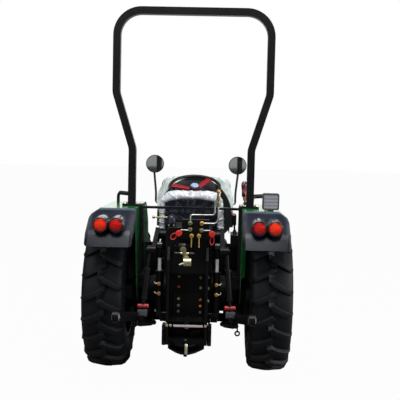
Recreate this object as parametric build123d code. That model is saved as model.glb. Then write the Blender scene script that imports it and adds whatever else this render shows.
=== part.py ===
from build123d import *
import math
import os

os.makedirs("parts", exist_ok=True)

# A narrow four-wheel-drive utility tractor with a two-post roll bar and a rear three-point hitch.
# Millimetres. +X is the tractor's right side, +Y is forward, +Z is up. The origin is on the ground,
# in the middle of the length and of the width.

# ---------------------------------------------------------------- driving sizes
WHEELBASE = 1800
REAR_OVERHANG = 900          # rear axle to the tips of the lower links
FRONT_OVERHANG = 640         # front axle to the face of the front casting
TOTAL_HEIGHT = 2450          # to the top of the roll bar

REAR_TYRE_R = 525            # drive tyre on a 24 inch rim, over its lugs
REAR_TYRE_W = 280
REAR_RIM_R = 305
REAR_RIM_HALF = 118
REAR_TRACK = 1080
FRONT_TYRE_R = 370           # 6.50-16 drive tyre, over its lugs
FRONT_TYRE_W = 180
FRONT_RIM_R = 203
FRONT_RIM_HALF = 63
FRONT_TRACK = 1080
KINGPIN_TRACK = 860

REAR_Y = -(REAR_OVERHANG + WHEELBASE + FRONT_OVERHANG) / 2 + REAR_OVERHANG
FRONT_Y = REAR_Y + WHEELBASE
FRONT_END_Y = FRONT_Y + FRONT_OVERHANG
REAR_Z = REAR_TYRE_R
FRONT_Z = FRONT_TYRE_R

FIT = 0.3                    # gap between pieces that seat on each other
RUN = 0.5                    # running gap of a pin or shaft
OPEN_PIN = 1.0               # side gap where a closed linkage is opened

CASE_HALF = 150              # half width of the gearbox
CASE_TOP = REAR_Z + 175
CASE_BOTTOM = REAR_Z - 225
CASE_REAR_Y = REAR_Y - 250
CASE_FRONT_Y = REAR_Y + 700
HOUSING_REAR_Y = REAR_Y - 330
HOUSING_FRONT_Y = REAR_Y + 50
HOUSING_TOP = CASE_TOP + 300
BELL_HALF = 165
BELL_TOP = CASE_TOP + 60
ENGINE_HALF = 180
ENGINE_REAR_Y = 240
ENGINE_FRONT_Y = FRONT_Y - 230
ENGINE_BOTTOM = CASE_BOTTOM + 120
ENGINE_TOP = ENGINE_BOTTOM + 540
COWL_REAR_Y = 250
COWL_FRONT_Y = 392


# ---------------------------------------------------------------- shaping helpers
def block(x, y, z):
    """A box between the two values given for each axis."""
    size = (x[1] - x[0], y[1] - y[0], z[1] - z[0])
    return Pos((x[0] + x[1]) / 2, (y[0] + y[1]) / 2, (z[0] + z[1]) / 2) * Box(*size)


def rod(start, end, radius):
    """A round bar between two points."""
    a, b = Vector(*start), Vector(*end)
    return Plane(origin=(a + b) * 0.5, z_dir=b - a) * Cylinder(radius, (b - a).length)


def side_plate(points, x):
    """A flat plate with a (y, z) outline, between two x values."""
    face = Plane.YZ.offset(x[0]) * make_face(Polyline(*points, close=True))
    return extrude(face, x[1] - x[0])


def softened(face, corners, radius):
    """The face with its corners at the given (y, z) points rounded."""
    picked = [corner for corner in face.vertices()
              if any(abs(corner.Y - y) < 1 and abs(corner.Z - z) < 1 for y, z in corners)]
    return fillet(picked, radius)


def hexagon(start, end, radius):
    """A six-sided bar between two points."""
    a, b = Vector(*start), Vector(*end)
    return extrude(Plane(origin=a, z_dir=b - a) * RegularPolygon(radius, 6), (b - a).length)


def turned(points, y, z, x=0):
    """A solid turned about the X direction through (y, z), from its (x, radius) half section."""
    face = make_face(Polyline(*points, close=True))
    return Pos(x, y, z) * revolve(face, Axis.X)


def tube(points, radius, bend):
    """A round tube along a line of points with rounded bends."""
    path = FilletPolyline(*points, radius=bend) if len(points) > 2 else Polyline(*points)
    return sweep(Plane(origin=path @ 0, z_dir=path % 0) * Circle(radius), path=path)


def joined(pieces):
    """Several pieces that are cast or welded into one."""
    whole = pieces[0]
    for piece in pieces[1:]:
        whole = whole + piece
    return whole


def right_to_left(piece):
    """The mirror image on the tractor's left side."""
    return mirror(piece, about=Plane.YZ)


def both_sides(piece):
    return [piece, right_to_left(piece)]


def save(name, pieces):
    """One STEP file for a named piece of the tractor."""
    pieces = pieces if isinstance(pieces, list) else [pieces]
    solids = [solid for piece in pieces for solid in piece.solids()]
    export_step(solids[0] if len(solids) == 1 else Compound(children=solids), f"parts/{name}.step")


# ---------------------------------------------------------------- gearbox, axle housings and engine
ROCKSHAFT_Y = REAR_Y - 120
ROCKSHAFT_Z = CASE_TOP + 230
ROCKSHAFT_R = 32
PTO_Z = CASE_BOTTOM + 60
PTO_R = 17.5
DOME_X = -117                # breather cap on the lift housing
DOME_R = 29

case = fillet(block((-CASE_HALF, CASE_HALF), (CASE_REAR_Y, CASE_FRONT_Y),
                    (CASE_BOTTOM, CASE_TOP)).edges().filter_by(Axis.Y), 30)
bell_rear = Plane.XZ.offset(-CASE_FRONT_Y) * Pos(0, (CASE_TOP + CASE_BOTTOM) / 2) * RectangleRounded(
    2 * CASE_HALF, CASE_TOP - CASE_BOTTOM, 30)
bell_front = Plane.XZ.offset(-ENGINE_REAR_Y) * Pos(0, (BELL_TOP + CASE_BOTTOM) / 2) * RectangleRounded(
    2 * BELL_HALF, BELL_TOP - CASE_BOTTOM, 60)
bell = loft([bell_rear, bell_front], ruled=True)
housing = block((-CASE_HALF, CASE_HALF), (HOUSING_REAR_Y, HOUSING_FRONT_Y), (CASE_TOP, HOUSING_TOP))
housing = fillet(housing.edges().filter_by(Axis.Y).group_by(Axis.Z)[-1], 35)
dome = Pos(DOME_X, HOUSING_REAR_Y + 60, HOUSING_TOP) * (
    Pos(0, 0, 25) * Cylinder(DOME_R, 50) + Pos(0, 0, 50) * Sphere(DOME_R))
housing_flange = block((-CASE_HALF - 6, CASE_HALF + 6), (HOUSING_REAR_Y + 20, HOUSING_FRONT_Y + 6),
                       (CASE_TOP - 2, CASE_TOP + 12))
rear_cover = fillet(block((-95, 95), (CASE_REAR_Y - 12, CASE_REAR_Y),
                          (CASE_BOTTOM + 15, CASE_TOP - 140)).edges().filter_by(Axis.Y), 20)
pto_boss = rod((0, CASE_REAR_Y - 30, PTO_Z), (0, CASE_REAR_Y, PTO_Z), 45)
bell_flange = Plane.XZ.offset(-CASE_FRONT_Y - 10) * Pos(0, (CASE_TOP + CASE_BOTTOM) / 2) * RectangleRounded(
    2 * CASE_HALF + 16, CASE_TOP - CASE_BOTTOM + 16, 36)
bell_flange = extrude(bell_flange, 20)
transmission = joined([case, bell, bell_flange, housing, housing_flange, dome, rear_cover, pto_boss])
transmission -= rod((-CASE_HALF - 1, ROCKSHAFT_Y, ROCKSHAFT_Z),
                    (CASE_HALF + 1, ROCKSHAFT_Y, ROCKSHAFT_Z), ROCKSHAFT_R + RUN)
transmission -= rod((0, CASE_REAR_Y - 31, PTO_Z), (0, CASE_REAR_Y + 60, PTO_Z), PTO_R + RUN)
save("transmission_case", transmission)

TRUMPET_END = 390            # outer face of the axle housing
TRUMPET_R = 100
TRUMPET_ROOT = CASE_HALF + 40
TRUMPET_ROOT_R = 122
TRUMPET_TIP_R = 82
TRUMPET_TAPER = (TRUMPET_ROOT_R - TRUMPET_TIP_R) / (TRUMPET_END - 40 - TRUMPET_ROOT)
trumpet = turned([(CASE_HALF + FIT, 0), (CASE_HALF + FIT, 140), (CASE_HALF + 20, 140),
                  (TRUMPET_ROOT, TRUMPET_ROOT_R), (TRUMPET_END - 40, TRUMPET_TIP_R),
                  (TRUMPET_END - 20, TRUMPET_TIP_R), (TRUMPET_END - 20, TRUMPET_R),
                  (TRUMPET_END, TRUMPET_R), (TRUMPET_END, 0)], REAR_Y, REAR_Z)
save("rear_axle", both_sides(trumpet))

flywheel_case = block((-ENGINE_HALF, ENGINE_HALF), (ENGINE_REAR_Y + FIT, 400), (ENGINE_BOTTOM, BELL_TOP))
engine = block((-ENGINE_HALF, ENGINE_HALF), (400, ENGINE_FRONT_Y), (ENGINE_BOTTOM, ENGINE_TOP))
save("engine_block", fillet((flywheel_case + engine).edges().filter_by(Axis.Y), 12))

MUFFLER_R = 50
MUFFLER_X = ENGINE_HALF + MUFFLER_R + FIT
MUFFLER_Z = ENGINE_BOTTOM + 270
muffler = rod((MUFFLER_X, 420, MUFFLER_Z), (MUFFLER_X, 600, MUFFLER_Z), MUFFLER_R)
tailpipe = tube([(MUFFLER_X, 440, MUFFLER_Z - 20), (MUFFLER_X, 440, MUFFLER_Z - 220),
                 (MUFFLER_X, 280, MUFFLER_Z - 290)], 22, 60)
save("exhaust", muffler + tailpipe)

# ---------------------------------------------------------------- rear wheels
HUB_END = REAR_TRACK / 2 - 88


def tyre(rim_r, rim_half, radius, width, track, y, z):
    """A drive tyre: beads on the rim, bulged side walls and a rounded tread, without its lugs' gaps."""
    half = width / 2
    low, high = rim_r + FIT, rim_r + 0.07 * radius
    rise = radius - rim_r
    side = Line((rim_half, low), (rim_half, high))
    over = Line(side @ 1, (rim_half + 0.1 * half, high + 0.03 * radius))
    wall = ThreePointArc(over @ 1, (half, rim_r + 0.5 * rise), (0.94 * half, rim_r + 0.85 * rise))
    shoulder = Line(wall @ 1, (0.8 * half, radius - 0.035 * radius))
    crown = ThreePointArc(shoulder @ 1, (0, radius), (-0.8 * half, radius - 0.035 * radius))
    right = Curve() + [side, over, wall, shoulder]
    left = mirror(right, about=Plane.YZ)
    foot = Line((-rim_half, low), (rim_half, low))
    face = make_face(Curve() + [right, left, crown, foot])
    return Pos(track / 2, y, z) * revolve(face, Axis.X)


def rim(rim_r, rim_half, track, y, z, hub_start, hub_r, disc_x, dish, holes, hole_r):
    """A steel wheel: rolled barrel with two flanges, a dished disc and its hub, as one turned piece."""
    flange = rim_r + 0.065 * rim_r
    inner = rim_r - 7
    start = hub_start - track / 2
    outline = [(start, 0), (start, hub_r), (disc_x, hub_r), (disc_x, hub_r + 30),
               (disc_x + dish, inner - 20), (disc_x + dish, inner), (-rim_half - 6, inner),
               (-rim_half - 6, flange), (-rim_half - FIT, flange), (-rim_half - FIT, rim_r),
               (rim_half + FIT, rim_r), (rim_half + FIT, flange), (rim_half + 6, flange),
               (rim_half + 6, inner), (disc_x + dish + 9, inner), (disc_x + dish + 9, inner - 20),
               (disc_x + 9, hub_r + 30), (disc_x + 9, hub_r), (disc_x + 26, hub_r - 12), (disc_x + 26, 0)]
    wheel = turned(outline, y, z, track / 2)
    circle = (hub_r + 30 + inner - 20) / 2
    for index in range(holes):
        angle = 2 * math.pi * index / holes
        hole_y, hole_z = y + circle * math.cos(angle), z + circle * math.sin(angle)
        wheel -= rod((track / 2 + disc_x - 10, hole_y, hole_z),
                     (track / 2 + disc_x + dish + 20, hole_y, hole_z), hole_r)
    return wheel


rear_tyre = tyre(REAR_RIM_R, REAR_RIM_HALF, REAR_TYRE_R, REAR_TYRE_W, REAR_TRACK, REAR_Y, REAR_Z)
rear_rim = rim(REAR_RIM_R, REAR_RIM_HALF, REAR_TRACK, REAR_Y, REAR_Z, TRUMPET_END + RUN, 72,
               HUB_END - REAR_TRACK / 2, 55, 8, 27)
save("tyre_rear_right", rear_tyre)
save("tyre_rear_left", right_to_left(rear_tyre))
save("rim_rear_right", rear_rim)
save("rim_rear_left", right_to_left(rear_rim))

# ---------------------------------------------------------------- front frame, axle and steering
RAIL_IN = 140
RAIL_OUT = 175
RAIL_BOTTOM = FRONT_Z + 130
RAIL_TOP = FRONT_Z + 250
CARRIER_NEAR = 108           # axle centre to the inner face of its pivot carriers
CARRIER_FAR = 135
TRUNNION_R = 30
BEAM_R = 46
YOKE_INSET = 115             # kingpin to the inner face of the yoke
YOKE_HALF = 35
KNUCKLE_TOP = FRONT_Z + 110
KNUCKLE_BOTTOM = FRONT_Z - 120
KNUCKLE_R = 46
EAR = 20
KINGPIN_X = KINGPIN_TRACK / 2
YOKE_X = KINGPIN_X - YOKE_INSET
KINGPIN_R = 14
KINGPIN_DEPTH = 25
STEER_ARM = 175              # kingpin to the pin of the steering arm, backwards
STEER_ARM_IN = 25            # and inwards
STEER_ARM_Z = FRONT_Z + 42
STEER_ARM_T = 18
STEER_ROD_Z = FRONT_Z + 85
STEER_ROD_R = 12
STEER_BARREL_R = 27
ROD_END = KINGPIN_X - STEER_ARM_IN
STEER_BARREL_HALF = ROD_END - 215
HUB_FACE = FRONT_TRACK / 2 - 35

rails = joined([block((s * RAIL_IN, s * RAIL_OUT) if s > 0 else (-RAIL_OUT, -RAIL_IN),
                      (ENGINE_FRONT_Y + 30, FRONT_END_Y - 50), (RAIL_BOTTOM, RAIL_TOP)) for s in (1, -1)]
               + [block((-RAIL_OUT, RAIL_OUT), (ENGINE_FRONT_Y + FIT, ENGINE_FRONT_Y + 30),
                        (RAIL_BOTTOM, RAIL_TOP))])
nose_plate = block((-200, 200), (FRONT_END_Y - 50, FRONT_END_Y), (RAIL_BOTTOM - 50, RAIL_TOP))
nose_plate = fillet(nose_plate.edges().filter_by(Axis.Y), 25)
radiator_shelf = block((-RAIL_OUT, RAIL_OUT), (FRONT_Y + 280, FRONT_Y + 380), (RAIL_TOP - 12, RAIL_TOP))
carriers = []
for sign in (1, -1):
    near, far = FRONT_Y + sign * CARRIER_NEAR, FRONT_Y + sign * CARRIER_FAR
    span = (min(near, far), max(near, far))
    carriers.append(block((-RAIL_OUT, RAIL_OUT), span, (RAIL_BOTTOM, RAIL_BOTTOM + 50)))
    carriers.append(block((-60, 60), span, (FRONT_Z, RAIL_BOTTOM + 10)))
    carriers.append(rod((0, near, FRONT_Z), (0, far, FRONT_Z), 60))
front_frame = joined([rails, nose_plate, radiator_shelf] + carriers)
front_frame -= rod((0, FRONT_Y - 200, FRONT_Z), (0, FRONT_Y + 200, FRONT_Z), TRUNNION_R + FIT)
save("front_frame", front_frame)

beam = turned([(-YOKE_X, 0), (-YOKE_X, 62), (-YOKE_X + 25, BEAM_R), (-130, BEAM_R + 6), (-75, 98), (-30, 104),
               (30, 104), (75, 98), (130, BEAM_R + 6), (YOKE_X - 25, BEAM_R), (YOKE_X, 62), (YOKE_X, 0)],
              FRONT_Y, FRONT_Z)
trunnion = rod((0, FRONT_Y - CARRIER_FAR, FRONT_Z), (0, FRONT_Y + CARRIER_FAR, FRONT_Z), TRUNNION_R)
axle = [beam, trunnion]
for sign in (1, -1):
    span = (min(sign * YOKE_X, sign * (YOKE_X + 35)), max(sign * YOKE_X, sign * (YOKE_X + 35)))
    reach = (min(sign * YOKE_X, sign * KINGPIN_X), max(sign * YOKE_X, sign * KINGPIN_X))
    depth = (FRONT_Y - YOKE_HALF, FRONT_Y + YOKE_HALF)
    low = (KNUCKLE_BOTTOM - RUN - EAR, KNUCKLE_BOTTOM - RUN)
    high = (KNUCKLE_TOP + RUN, KNUCKLE_TOP + RUN + EAR)
    axle.append(block(span, depth, (low[0], high[1])))
    for level, pin in ((low, (low[1], low[1] + KINGPIN_DEPTH)), (high, (high[0] - KINGPIN_DEPTH, high[0]))):
        axle.append(block(reach, depth, level))
        axle.append(rod((sign * KINGPIN_X, FRONT_Y, level[0]), (sign * KINGPIN_X, FRONT_Y, level[1]),
                        YOKE_HALF))
        axle.append(rod((sign * KINGPIN_X, FRONT_Y, pin[0]), (sign * KINGPIN_X, FRONT_Y, pin[1]), KINGPIN_R))
STEER_Y = FRONT_Y - STEER_ARM
barrel = rod((-STEER_BARREL_HALF, STEER_Y, STEER_ROD_Z), (STEER_BARREL_HALF, STEER_Y, STEER_ROD_Z),
             STEER_BARREL_R)
for sign in (1, -1):
    clamp_x = sign * (STEER_BARREL_HALF - 30)
    axle.append(block((clamp_x - 12, clamp_x + 12), (STEER_Y, FRONT_Y - 20), (FRONT_Z + 30, FRONT_Z + 60)))
axle.append(barrel)
front_axle = joined(axle)
front_axle -= rod((-KINGPIN_X, STEER_Y, STEER_ROD_Z), (KINGPIN_X, STEER_Y, STEER_ROD_Z), STEER_ROD_R + RUN)
DRIVE_R = 26
DRIVE_STUB = 60
DRIVE_JOINT_R = 33
drive_start = Vector(0, ENGINE_REAR_Y + FIT, CASE_BOTTOM + 70)
drive_end = Vector(0, FRONT_Y - CARRIER_FAR - FIT, FRONT_Z)
rear_joint = drive_start + Vector(0, DRIVE_STUB, 0)
front_joint = drive_end - Vector(0, DRIVE_STUB, 0)
drive_points = [drive_start, rear_joint, front_joint, drive_end]
drive_shaft = joined([rod(tuple(a), tuple(b), DRIVE_R) for a, b in zip(drive_points, drive_points[1:])]
                     + [Pos(*joint) * Sphere(DRIVE_JOINT_R) for joint in (rear_joint, front_joint)])
save("front_axle", [front_axle, drive_shaft])

steering_rod = rod((-ROD_END, STEER_Y, STEER_ROD_Z), (ROD_END, STEER_Y, STEER_ROD_Z), STEER_ROD_R)
for sign in (1, -1):
    eye_low = (sign * ROD_END, STEER_Y, STEER_ARM_Z + STEER_ARM_T + OPEN_PIN)
    steering_rod += rod(eye_low, (sign * ROD_END, STEER_Y, STEER_ROD_Z + 22), 20)
save("steering_rod", steering_rod)

knuckle = rod((KINGPIN_X, FRONT_Y, KNUCKLE_BOTTOM), (KINGPIN_X, FRONT_Y, KNUCKLE_TOP), KNUCKLE_R)
knuckle += rod((KINGPIN_X, FRONT_Y, FRONT_Z), (HUB_FACE - FIT, FRONT_Y, FRONT_Z), 42)
knuckle += rod((HUB_FACE - 14, FRONT_Y, FRONT_Z), (HUB_FACE - FIT, FRONT_Y, FRONT_Z), 60)
arm_outline = [(KINGPIN_X - 30, FRONT_Y - 20), (KINGPIN_X + 18, FRONT_Y - 20), (ROD_END + 16, STEER_Y),
               (ROD_END - 16, STEER_Y)]
arm = extrude(Plane.XY.offset(STEER_ARM_Z) * make_face(Polyline(*arm_outline, close=True)), STEER_ARM_T)
knuckle += arm
knuckle += rod((ROD_END, STEER_Y, STEER_ARM_Z), (ROD_END, STEER_Y, STEER_ARM_Z + STEER_ARM_T), 18)
PIN_HOLE = KINGPIN_DEPTH + 1
for low, high in ((KNUCKLE_BOTTOM, KNUCKLE_BOTTOM + PIN_HOLE), (KNUCKLE_TOP - PIN_HOLE, KNUCKLE_TOP)):
    knuckle -= rod((KINGPIN_X, FRONT_Y, low), (KINGPIN_X, FRONT_Y, high), KINGPIN_R + RUN)
save("knuckle_right", knuckle)
save("knuckle_left", right_to_left(knuckle))

front_tyre = tyre(FRONT_RIM_R, FRONT_RIM_HALF, FRONT_TYRE_R, FRONT_TYRE_W, FRONT_TRACK, FRONT_Y, FRONT_Z)
front_rim = rim(FRONT_RIM_R, FRONT_RIM_HALF, FRONT_TRACK, FRONT_Y, FRONT_Z, HUB_FACE, 62,
                HUB_FACE + 6 - FRONT_TRACK / 2, 18, 6, 16)
save("tyre_front_right", front_tyre)
save("tyre_front_left", right_to_left(front_tyre))
save("rim_front_right", front_rim)
save("rim_front_left", right_to_left(front_rim))

# ---------------------------------------------------------------- bonnet, grille, lamps and radiator
HOOD_WALL = 4
HOOD_CORNER = 70
HOOD_INNER_CORNER = 60
# y, half width, bottom z, top z of the bonnet's sections, from the cowl to the nose
HOOD_REAR_TOP = ENGINE_TOP + 312
HOOD_SECTIONS = [(COWL_FRONT_Y + 8, 293, HOOD_REAR_TOP - 472, HOOD_REAR_TOP),
                 (FRONT_Y - 30, 285, HOOD_REAR_TOP - 482, HOOD_REAR_TOP - 67),
                 (FRONT_Y + 470, 255, HOOD_REAR_TOP - 572, HOOD_REAR_TOP - 192)]
GRILLE_T = 18


def hood_body(inset, stretch, corner):
    """The bonnet as a solid block, inset by its wall and stretched past both ends to hollow it."""
    faces = []
    for index, (y, half, bottom, top) in enumerate(HOOD_SECTIONS):
        y += stretch * (-1 if index == 0 else 1 if index == len(HOOD_SECTIONS) - 1 else 0)
        height = top - bottom + 100 - inset
        rect = RectangleRounded(2 * (half - inset), height, corner)
        faces.append(Plane.XZ.offset(-y) * Pos(0, top - inset - height / 2) * rect)
    return loft(faces, ruled=True)


def below_hood():
    points = [(HOOD_SECTIONS[0][0] - 50, HOOD_SECTIONS[0][2])]
    points += [(y, bottom) for y, half, bottom, top in HOOD_SECTIONS]
    points += [(HOOD_SECTIONS[-1][0] + 50, HOOD_SECTIONS[-1][2]), (HOOD_SECTIONS[-1][0] + 50, 400),
               (HOOD_SECTIONS[0][0] - 50, 400)]
    return side_plate(points, (-400, 400))


VENTS = 9
VENT_PITCH = 44
VENT_W = 20
HINGE_Y = (COWL_FRONT_Y + HOOD_SECTIONS[0][0]) / 2
HINGE_Z = HOOD_SECTIONS[0][3] + 2
HINGE_R = (HOOD_SECTIONS[0][0] - COWL_FRONT_Y) / 2 - FIT
HINGE_IN = 80
HINGE_MIDDLE = 140
HINGE_OUT = 200
hood = hood_body(0, 0, HOOD_CORNER) - hood_body(HOOD_WALL, 1, HOOD_INNER_CORNER) - below_hood()
for index in range(VENTS):
    vent_y = COWL_FRONT_Y + 170 + index * VENT_PITCH
    vent_top = HOOD_REAR_TOP - 215 - 4 * index
    hood -= block((-400, 400), (vent_y, vent_y + VENT_W), (vent_top - 95, vent_top))
leaf = block((HINGE_MIDDLE + RUN, HINGE_OUT), (HINGE_Y, HINGE_Y + 34), (HINGE_Z - 6, HINGE_Z + HINGE_R))
leaf += rod((HINGE_MIDDLE + RUN, HINGE_Y, HINGE_Z), (HINGE_OUT, HINGE_Y, HINGE_Z), HINGE_R)
save("hood", joined([hood] + both_sides(leaf)))

nose_y, nose_half, nose_bottom, nose_top = HOOD_SECTIONS[-1]
HEADLAMP_X = 150
HEADLAMP_Z = nose_top - 95
headlamp_size = (130, 70)
grille_face = RectangleRounded(2 * nose_half, nose_top - nose_bottom, HOOD_CORNER - 10)
grille = extrude(Plane.XZ.offset(-(nose_y + GRILLE_T + FIT)) * Pos(0, (nose_top + nose_bottom) / 2)
                 * grille_face, GRILLE_T)
for sign in (1, -1):
    grille -= block((sign * HEADLAMP_X - headlamp_size[0] / 2, sign * HEADLAMP_X + headlamp_size[0] / 2),
                    (nose_y - 5, nose_y + GRILLE_T + 5),
                    (HEADLAMP_Z - headlamp_size[1] / 2, HEADLAMP_Z + headlamp_size[1] / 2))
GRILLE_SLOTS = 7
GRILLE_PITCH = 32
for index in range(GRILLE_SLOTS):
    z = nose_bottom + 35 + index * GRILLE_PITCH
    grille -= block((-190, 190), (nose_y - 5, nose_y + GRILLE_T + 5), (z, z + 16))
save("grille", grille)
lamp = fillet(block((HEADLAMP_X - headlamp_size[0] / 2 + FIT, HEADLAMP_X + headlamp_size[0] / 2 - FIT),
                    (nose_y - 30, nose_y + GRILLE_T - 3),
                    (HEADLAMP_Z - headlamp_size[1] / 2 + FIT, HEADLAMP_Z + headlamp_size[1] / 2 - FIT)
                    ).edges().filter_by(Axis.Y), 12)
save("headlamps", both_sides(lamp))
save("radiator", block((-200, 200), (FRONT_Y + 290, FRONT_Y + 365), (RAIL_TOP + FIT, HOOD_REAR_TOP - 262)))

# ---------------------------------------------------------------- cowl, steering wheel
COWL_HALF = 317
COWL_TOP = HOOD_REAR_TOP + 13
COWL_BOTTOM = BELL_TOP + 10
COWL_CORNER = 190
DASH_HALF = 165
WHEEL_TILT = 23
WHEEL_Y = -20
WHEEL_Z = COWL_TOP - 68
WHEEL_R = 210
WHEEL_RIM_R = 13
COLUMN_R = 34
WHEEL_HUB_LOW = 30

cowl = Plane.XZ.offset(-COWL_FRONT_Y) * Pos(0, (COWL_TOP + COWL_BOTTOM) / 2) * RectangleRounded(
    2 * COWL_HALF, COWL_TOP - COWL_BOTTOM, COWL_CORNER)
cowl = extrude(cowl, COWL_FRONT_Y - COWL_REAR_Y)
cowl += block((-COWL_HALF, COWL_HALF), (COWL_REAR_Y, COWL_FRONT_Y),
              (COWL_BOTTOM + 100, COWL_TOP - COWL_CORNER))
panel = side_plate([(COWL_REAR_Y + 1, COWL_BOTTOM), (COWL_REAR_Y + 1, COWL_TOP - 30), (200, COWL_TOP - 55),
                    (45, COWL_TOP - 185), (25, COWL_TOP - 235), (140, COWL_BOTTOM + 130),
                    (190, COWL_BOTTOM)], (-DASH_HALF, DASH_HALF))
pedestal = block((-DASH_HALF + 20, DASH_HALF - 20), (200, COWL_REAR_Y + 1),
                 (BELL_TOP + FIT, COWL_BOTTOM + 5))
wheel_axis = Vector(0, -math.sin(math.radians(WHEEL_TILT)), math.cos(math.radians(WHEEL_TILT)))
hub_point = Vector(0, WHEEL_Y, WHEEL_Z)
column = rod(tuple(hub_point - wheel_axis * 190), tuple(hub_point - wheel_axis * (WHEEL_HUB_LOW + FIT)),
             COLUMN_R)
hinge = rod((HINGE_IN, HINGE_Y, HINGE_Z), (HINGE_MIDDLE, HINGE_Y, HINGE_Z), HINGE_R)
hinge += block((HINGE_IN, HINGE_MIDDLE), (COWL_FRONT_Y - 5, HINGE_Y), (HINGE_Z - HINGE_R, HINGE_Z + HINGE_R))
save("dash_console", joined([cowl, panel, pedestal, column] + both_sides(hinge)))

wheel_plane = Plane(origin=hub_point, x_dir=(1, 0, 0), z_dir=wheel_axis)
wheel = Torus(WHEEL_R - WHEEL_RIM_R, WHEEL_RIM_R)
wheel += Pos(0, 0, 22 - WHEEL_HUB_LOW) * Cylinder(40, 44)
for turn in (30, 150, 270):
    wheel += Rot(0, 0, turn) * Pos(WHEEL_R / 2, 0, -8) * Box(WHEEL_R - 2 * WHEEL_RIM_R + 8, 38, 8)
save("steering_wheel", wheel_plane * wheel)

# ---------------------------------------------------------------- seat
SEAT_HALF = 245
CUSHION_BOTTOM = CASE_TOP + 90
CUSHION_TOP = CUSHION_BOTTOM + 90
SEAT_TOP = CUSHION_TOP + 360
SEAT_REAR_Y = HOUSING_FRONT_Y + 20
SEAT_FRONT_Y = SEAT_REAR_Y + 540
seat_base = block((-190, 190), (SEAT_REAR_Y + 60, SEAT_FRONT_Y - 70), (CASE_TOP + FIT, CUSHION_BOTTOM - 20))
seat_base += block((-215, 215), (SEAT_REAR_Y + 30, SEAT_FRONT_Y - 40), (CUSHION_BOTTOM - 20, CUSHION_BOTTOM))
save("seat_base", seat_base)
cushion = block((-SEAT_HALF, SEAT_HALF), (SEAT_REAR_Y + 10, SEAT_FRONT_Y),
                (CUSHION_BOTTOM + FIT, CUSHION_TOP))
save("seat_cushion", fillet(cushion.edges().filter_by(Axis.Z), 60))
backrest = side_plate([(SEAT_REAR_Y, CUSHION_TOP + FIT), (SEAT_REAR_Y + 95, CUSHION_TOP + FIT),
                       (SEAT_REAR_Y + 65, SEAT_TOP), (SEAT_REAR_Y + 10, SEAT_TOP)],
                      (-SEAT_HALF, SEAT_HALF))
save("seat_back", fillet(backrest.edges().filter_by(Axis.Y).group_by(Axis.Z)[-1], 20))
FILM_GAP = FIT
FILM_T = 3
FILM_REAR_HEM = SEAT_TOP - 240
FILM_FRONT_HEM = SEAT_TOP - 180


def film_layer(grow):
    return [(SEAT_REAR_Y - grow, FILM_REAR_HEM), (SEAT_REAR_Y + 10 - grow, SEAT_TOP + grow),
            (SEAT_REAR_Y + 65 + grow, SEAT_TOP + grow), (SEAT_REAR_Y + 95 + grow, FILM_FRONT_HEM)]


outer, inner = film_layer(FILM_GAP + FILM_T), film_layer(FILM_GAP)
save("seat_film", side_plate(outer + inner[::-1], (-SEAT_HALF - 2, SEAT_HALF + 2)))

# ---------------------------------------------------------------- roll bar
TUBE = 50
ROPS_Y = REAR_Y - 100
FENDER_CLEARANCE = 70
FENDER_TOP = REAR_Z + REAR_TYRE_R + FENDER_CLEARANCE
FOOT_T = 14
LEG_X = 400
UPPER_X = 515
BEND_LOW_SHARE = 0.291      # heights of the two bends, as shares of the hoop's rise
BEND_HIGH_SHARE = 0.578
CORNER_R = 165
BEND_R = 120
FENDER_IN = 345              # inner wall of the fenders
POST_T = 18
POST_OUT = FENDER_IN - FIT
POST_IN = POST_OUT - POST_T
SADDLE_IN = 290
SADDLE_TOP = REAR_Z + 125
foot_z = FENDER_TOP + FIT + FOOT_T
top_z = TOTAL_HEIGHT - TUBE / 2
bend_low, bend_high = (foot_z + share * (top_z - foot_z) for share in (BEND_LOW_SHARE, BEND_HIGH_SHARE))
hoop_points = [(LEG_X, foot_z + FIT), (LEG_X, bend_low), (UPPER_X, bend_high), (UPPER_X, top_z),
               (-UPPER_X, top_z), (-UPPER_X, bend_high), (-LEG_X, bend_low), (-LEG_X, foot_z + FIT)]
hoop_path = Plane.XZ.offset(-ROPS_Y) * FilletPolyline(
    *hoop_points, radius=[BEND_R, BEND_R, CORNER_R, CORNER_R, BEND_R, BEND_R])
hoop_section = Plane(origin=hoop_path @ 0, z_dir=hoop_path % 0, x_dir=(1, 0, 0)) * Rectangle(TUBE, TUBE)
save("rops_frame", sweep(hoop_section, path=hoop_path))

post = side_plate([(ROPS_Y - 45, foot_z), (ROPS_Y + 45, foot_z), (REAR_Y + 60, SADDLE_TOP),
                   (REAR_Y + 60, SADDLE_TOP - 10), (REAR_Y - 110, SADDLE_TOP - 10)], (POST_IN, POST_OUT))
for hole_share in (0.3, 0.62):
    hole_z = SADDLE_TOP + hole_share * (foot_z - SADDLE_TOP)
    post -= rod((POST_IN - 1, ROPS_Y + 10, hole_z), (POST_OUT + 1, ROPS_Y + 10, hole_z), 20)
post += block((POST_IN, LEG_X + 60), (ROPS_Y - 45, ROPS_Y + 45), (FENDER_TOP + FIT, foot_z))
post += block((SADDLE_IN, POST_OUT), (REAR_Y - 110, REAR_Y + 90), (REAR_Z + 40, SADDLE_TOP))
post += block((SADDLE_IN, POST_OUT), (ROPS_Y - 35, REAR_Y + 90), (SADDLE_TOP - 10, SADDLE_TOP + 8))
saddle_bore = [(x, TRUMPET_ROOT_R - TRUMPET_TAPER * (x - TRUMPET_ROOT) + FIT)
               for x in (SADDLE_IN - 10, FENDER_IN)]
post -= turned([(saddle_bore[0][0], 0)] + saddle_bore + [(FENDER_IN, 0)], REAR_Y, REAR_Z)
save("rops_posts", both_sides(post))
crossbar = block((-POST_IN + FIT, POST_IN - FIT), (ROPS_Y - 15, ROPS_Y + 15), (FENDER_TOP - 16, FENDER_TOP))
save("rops_crossbar", crossbar)

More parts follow.
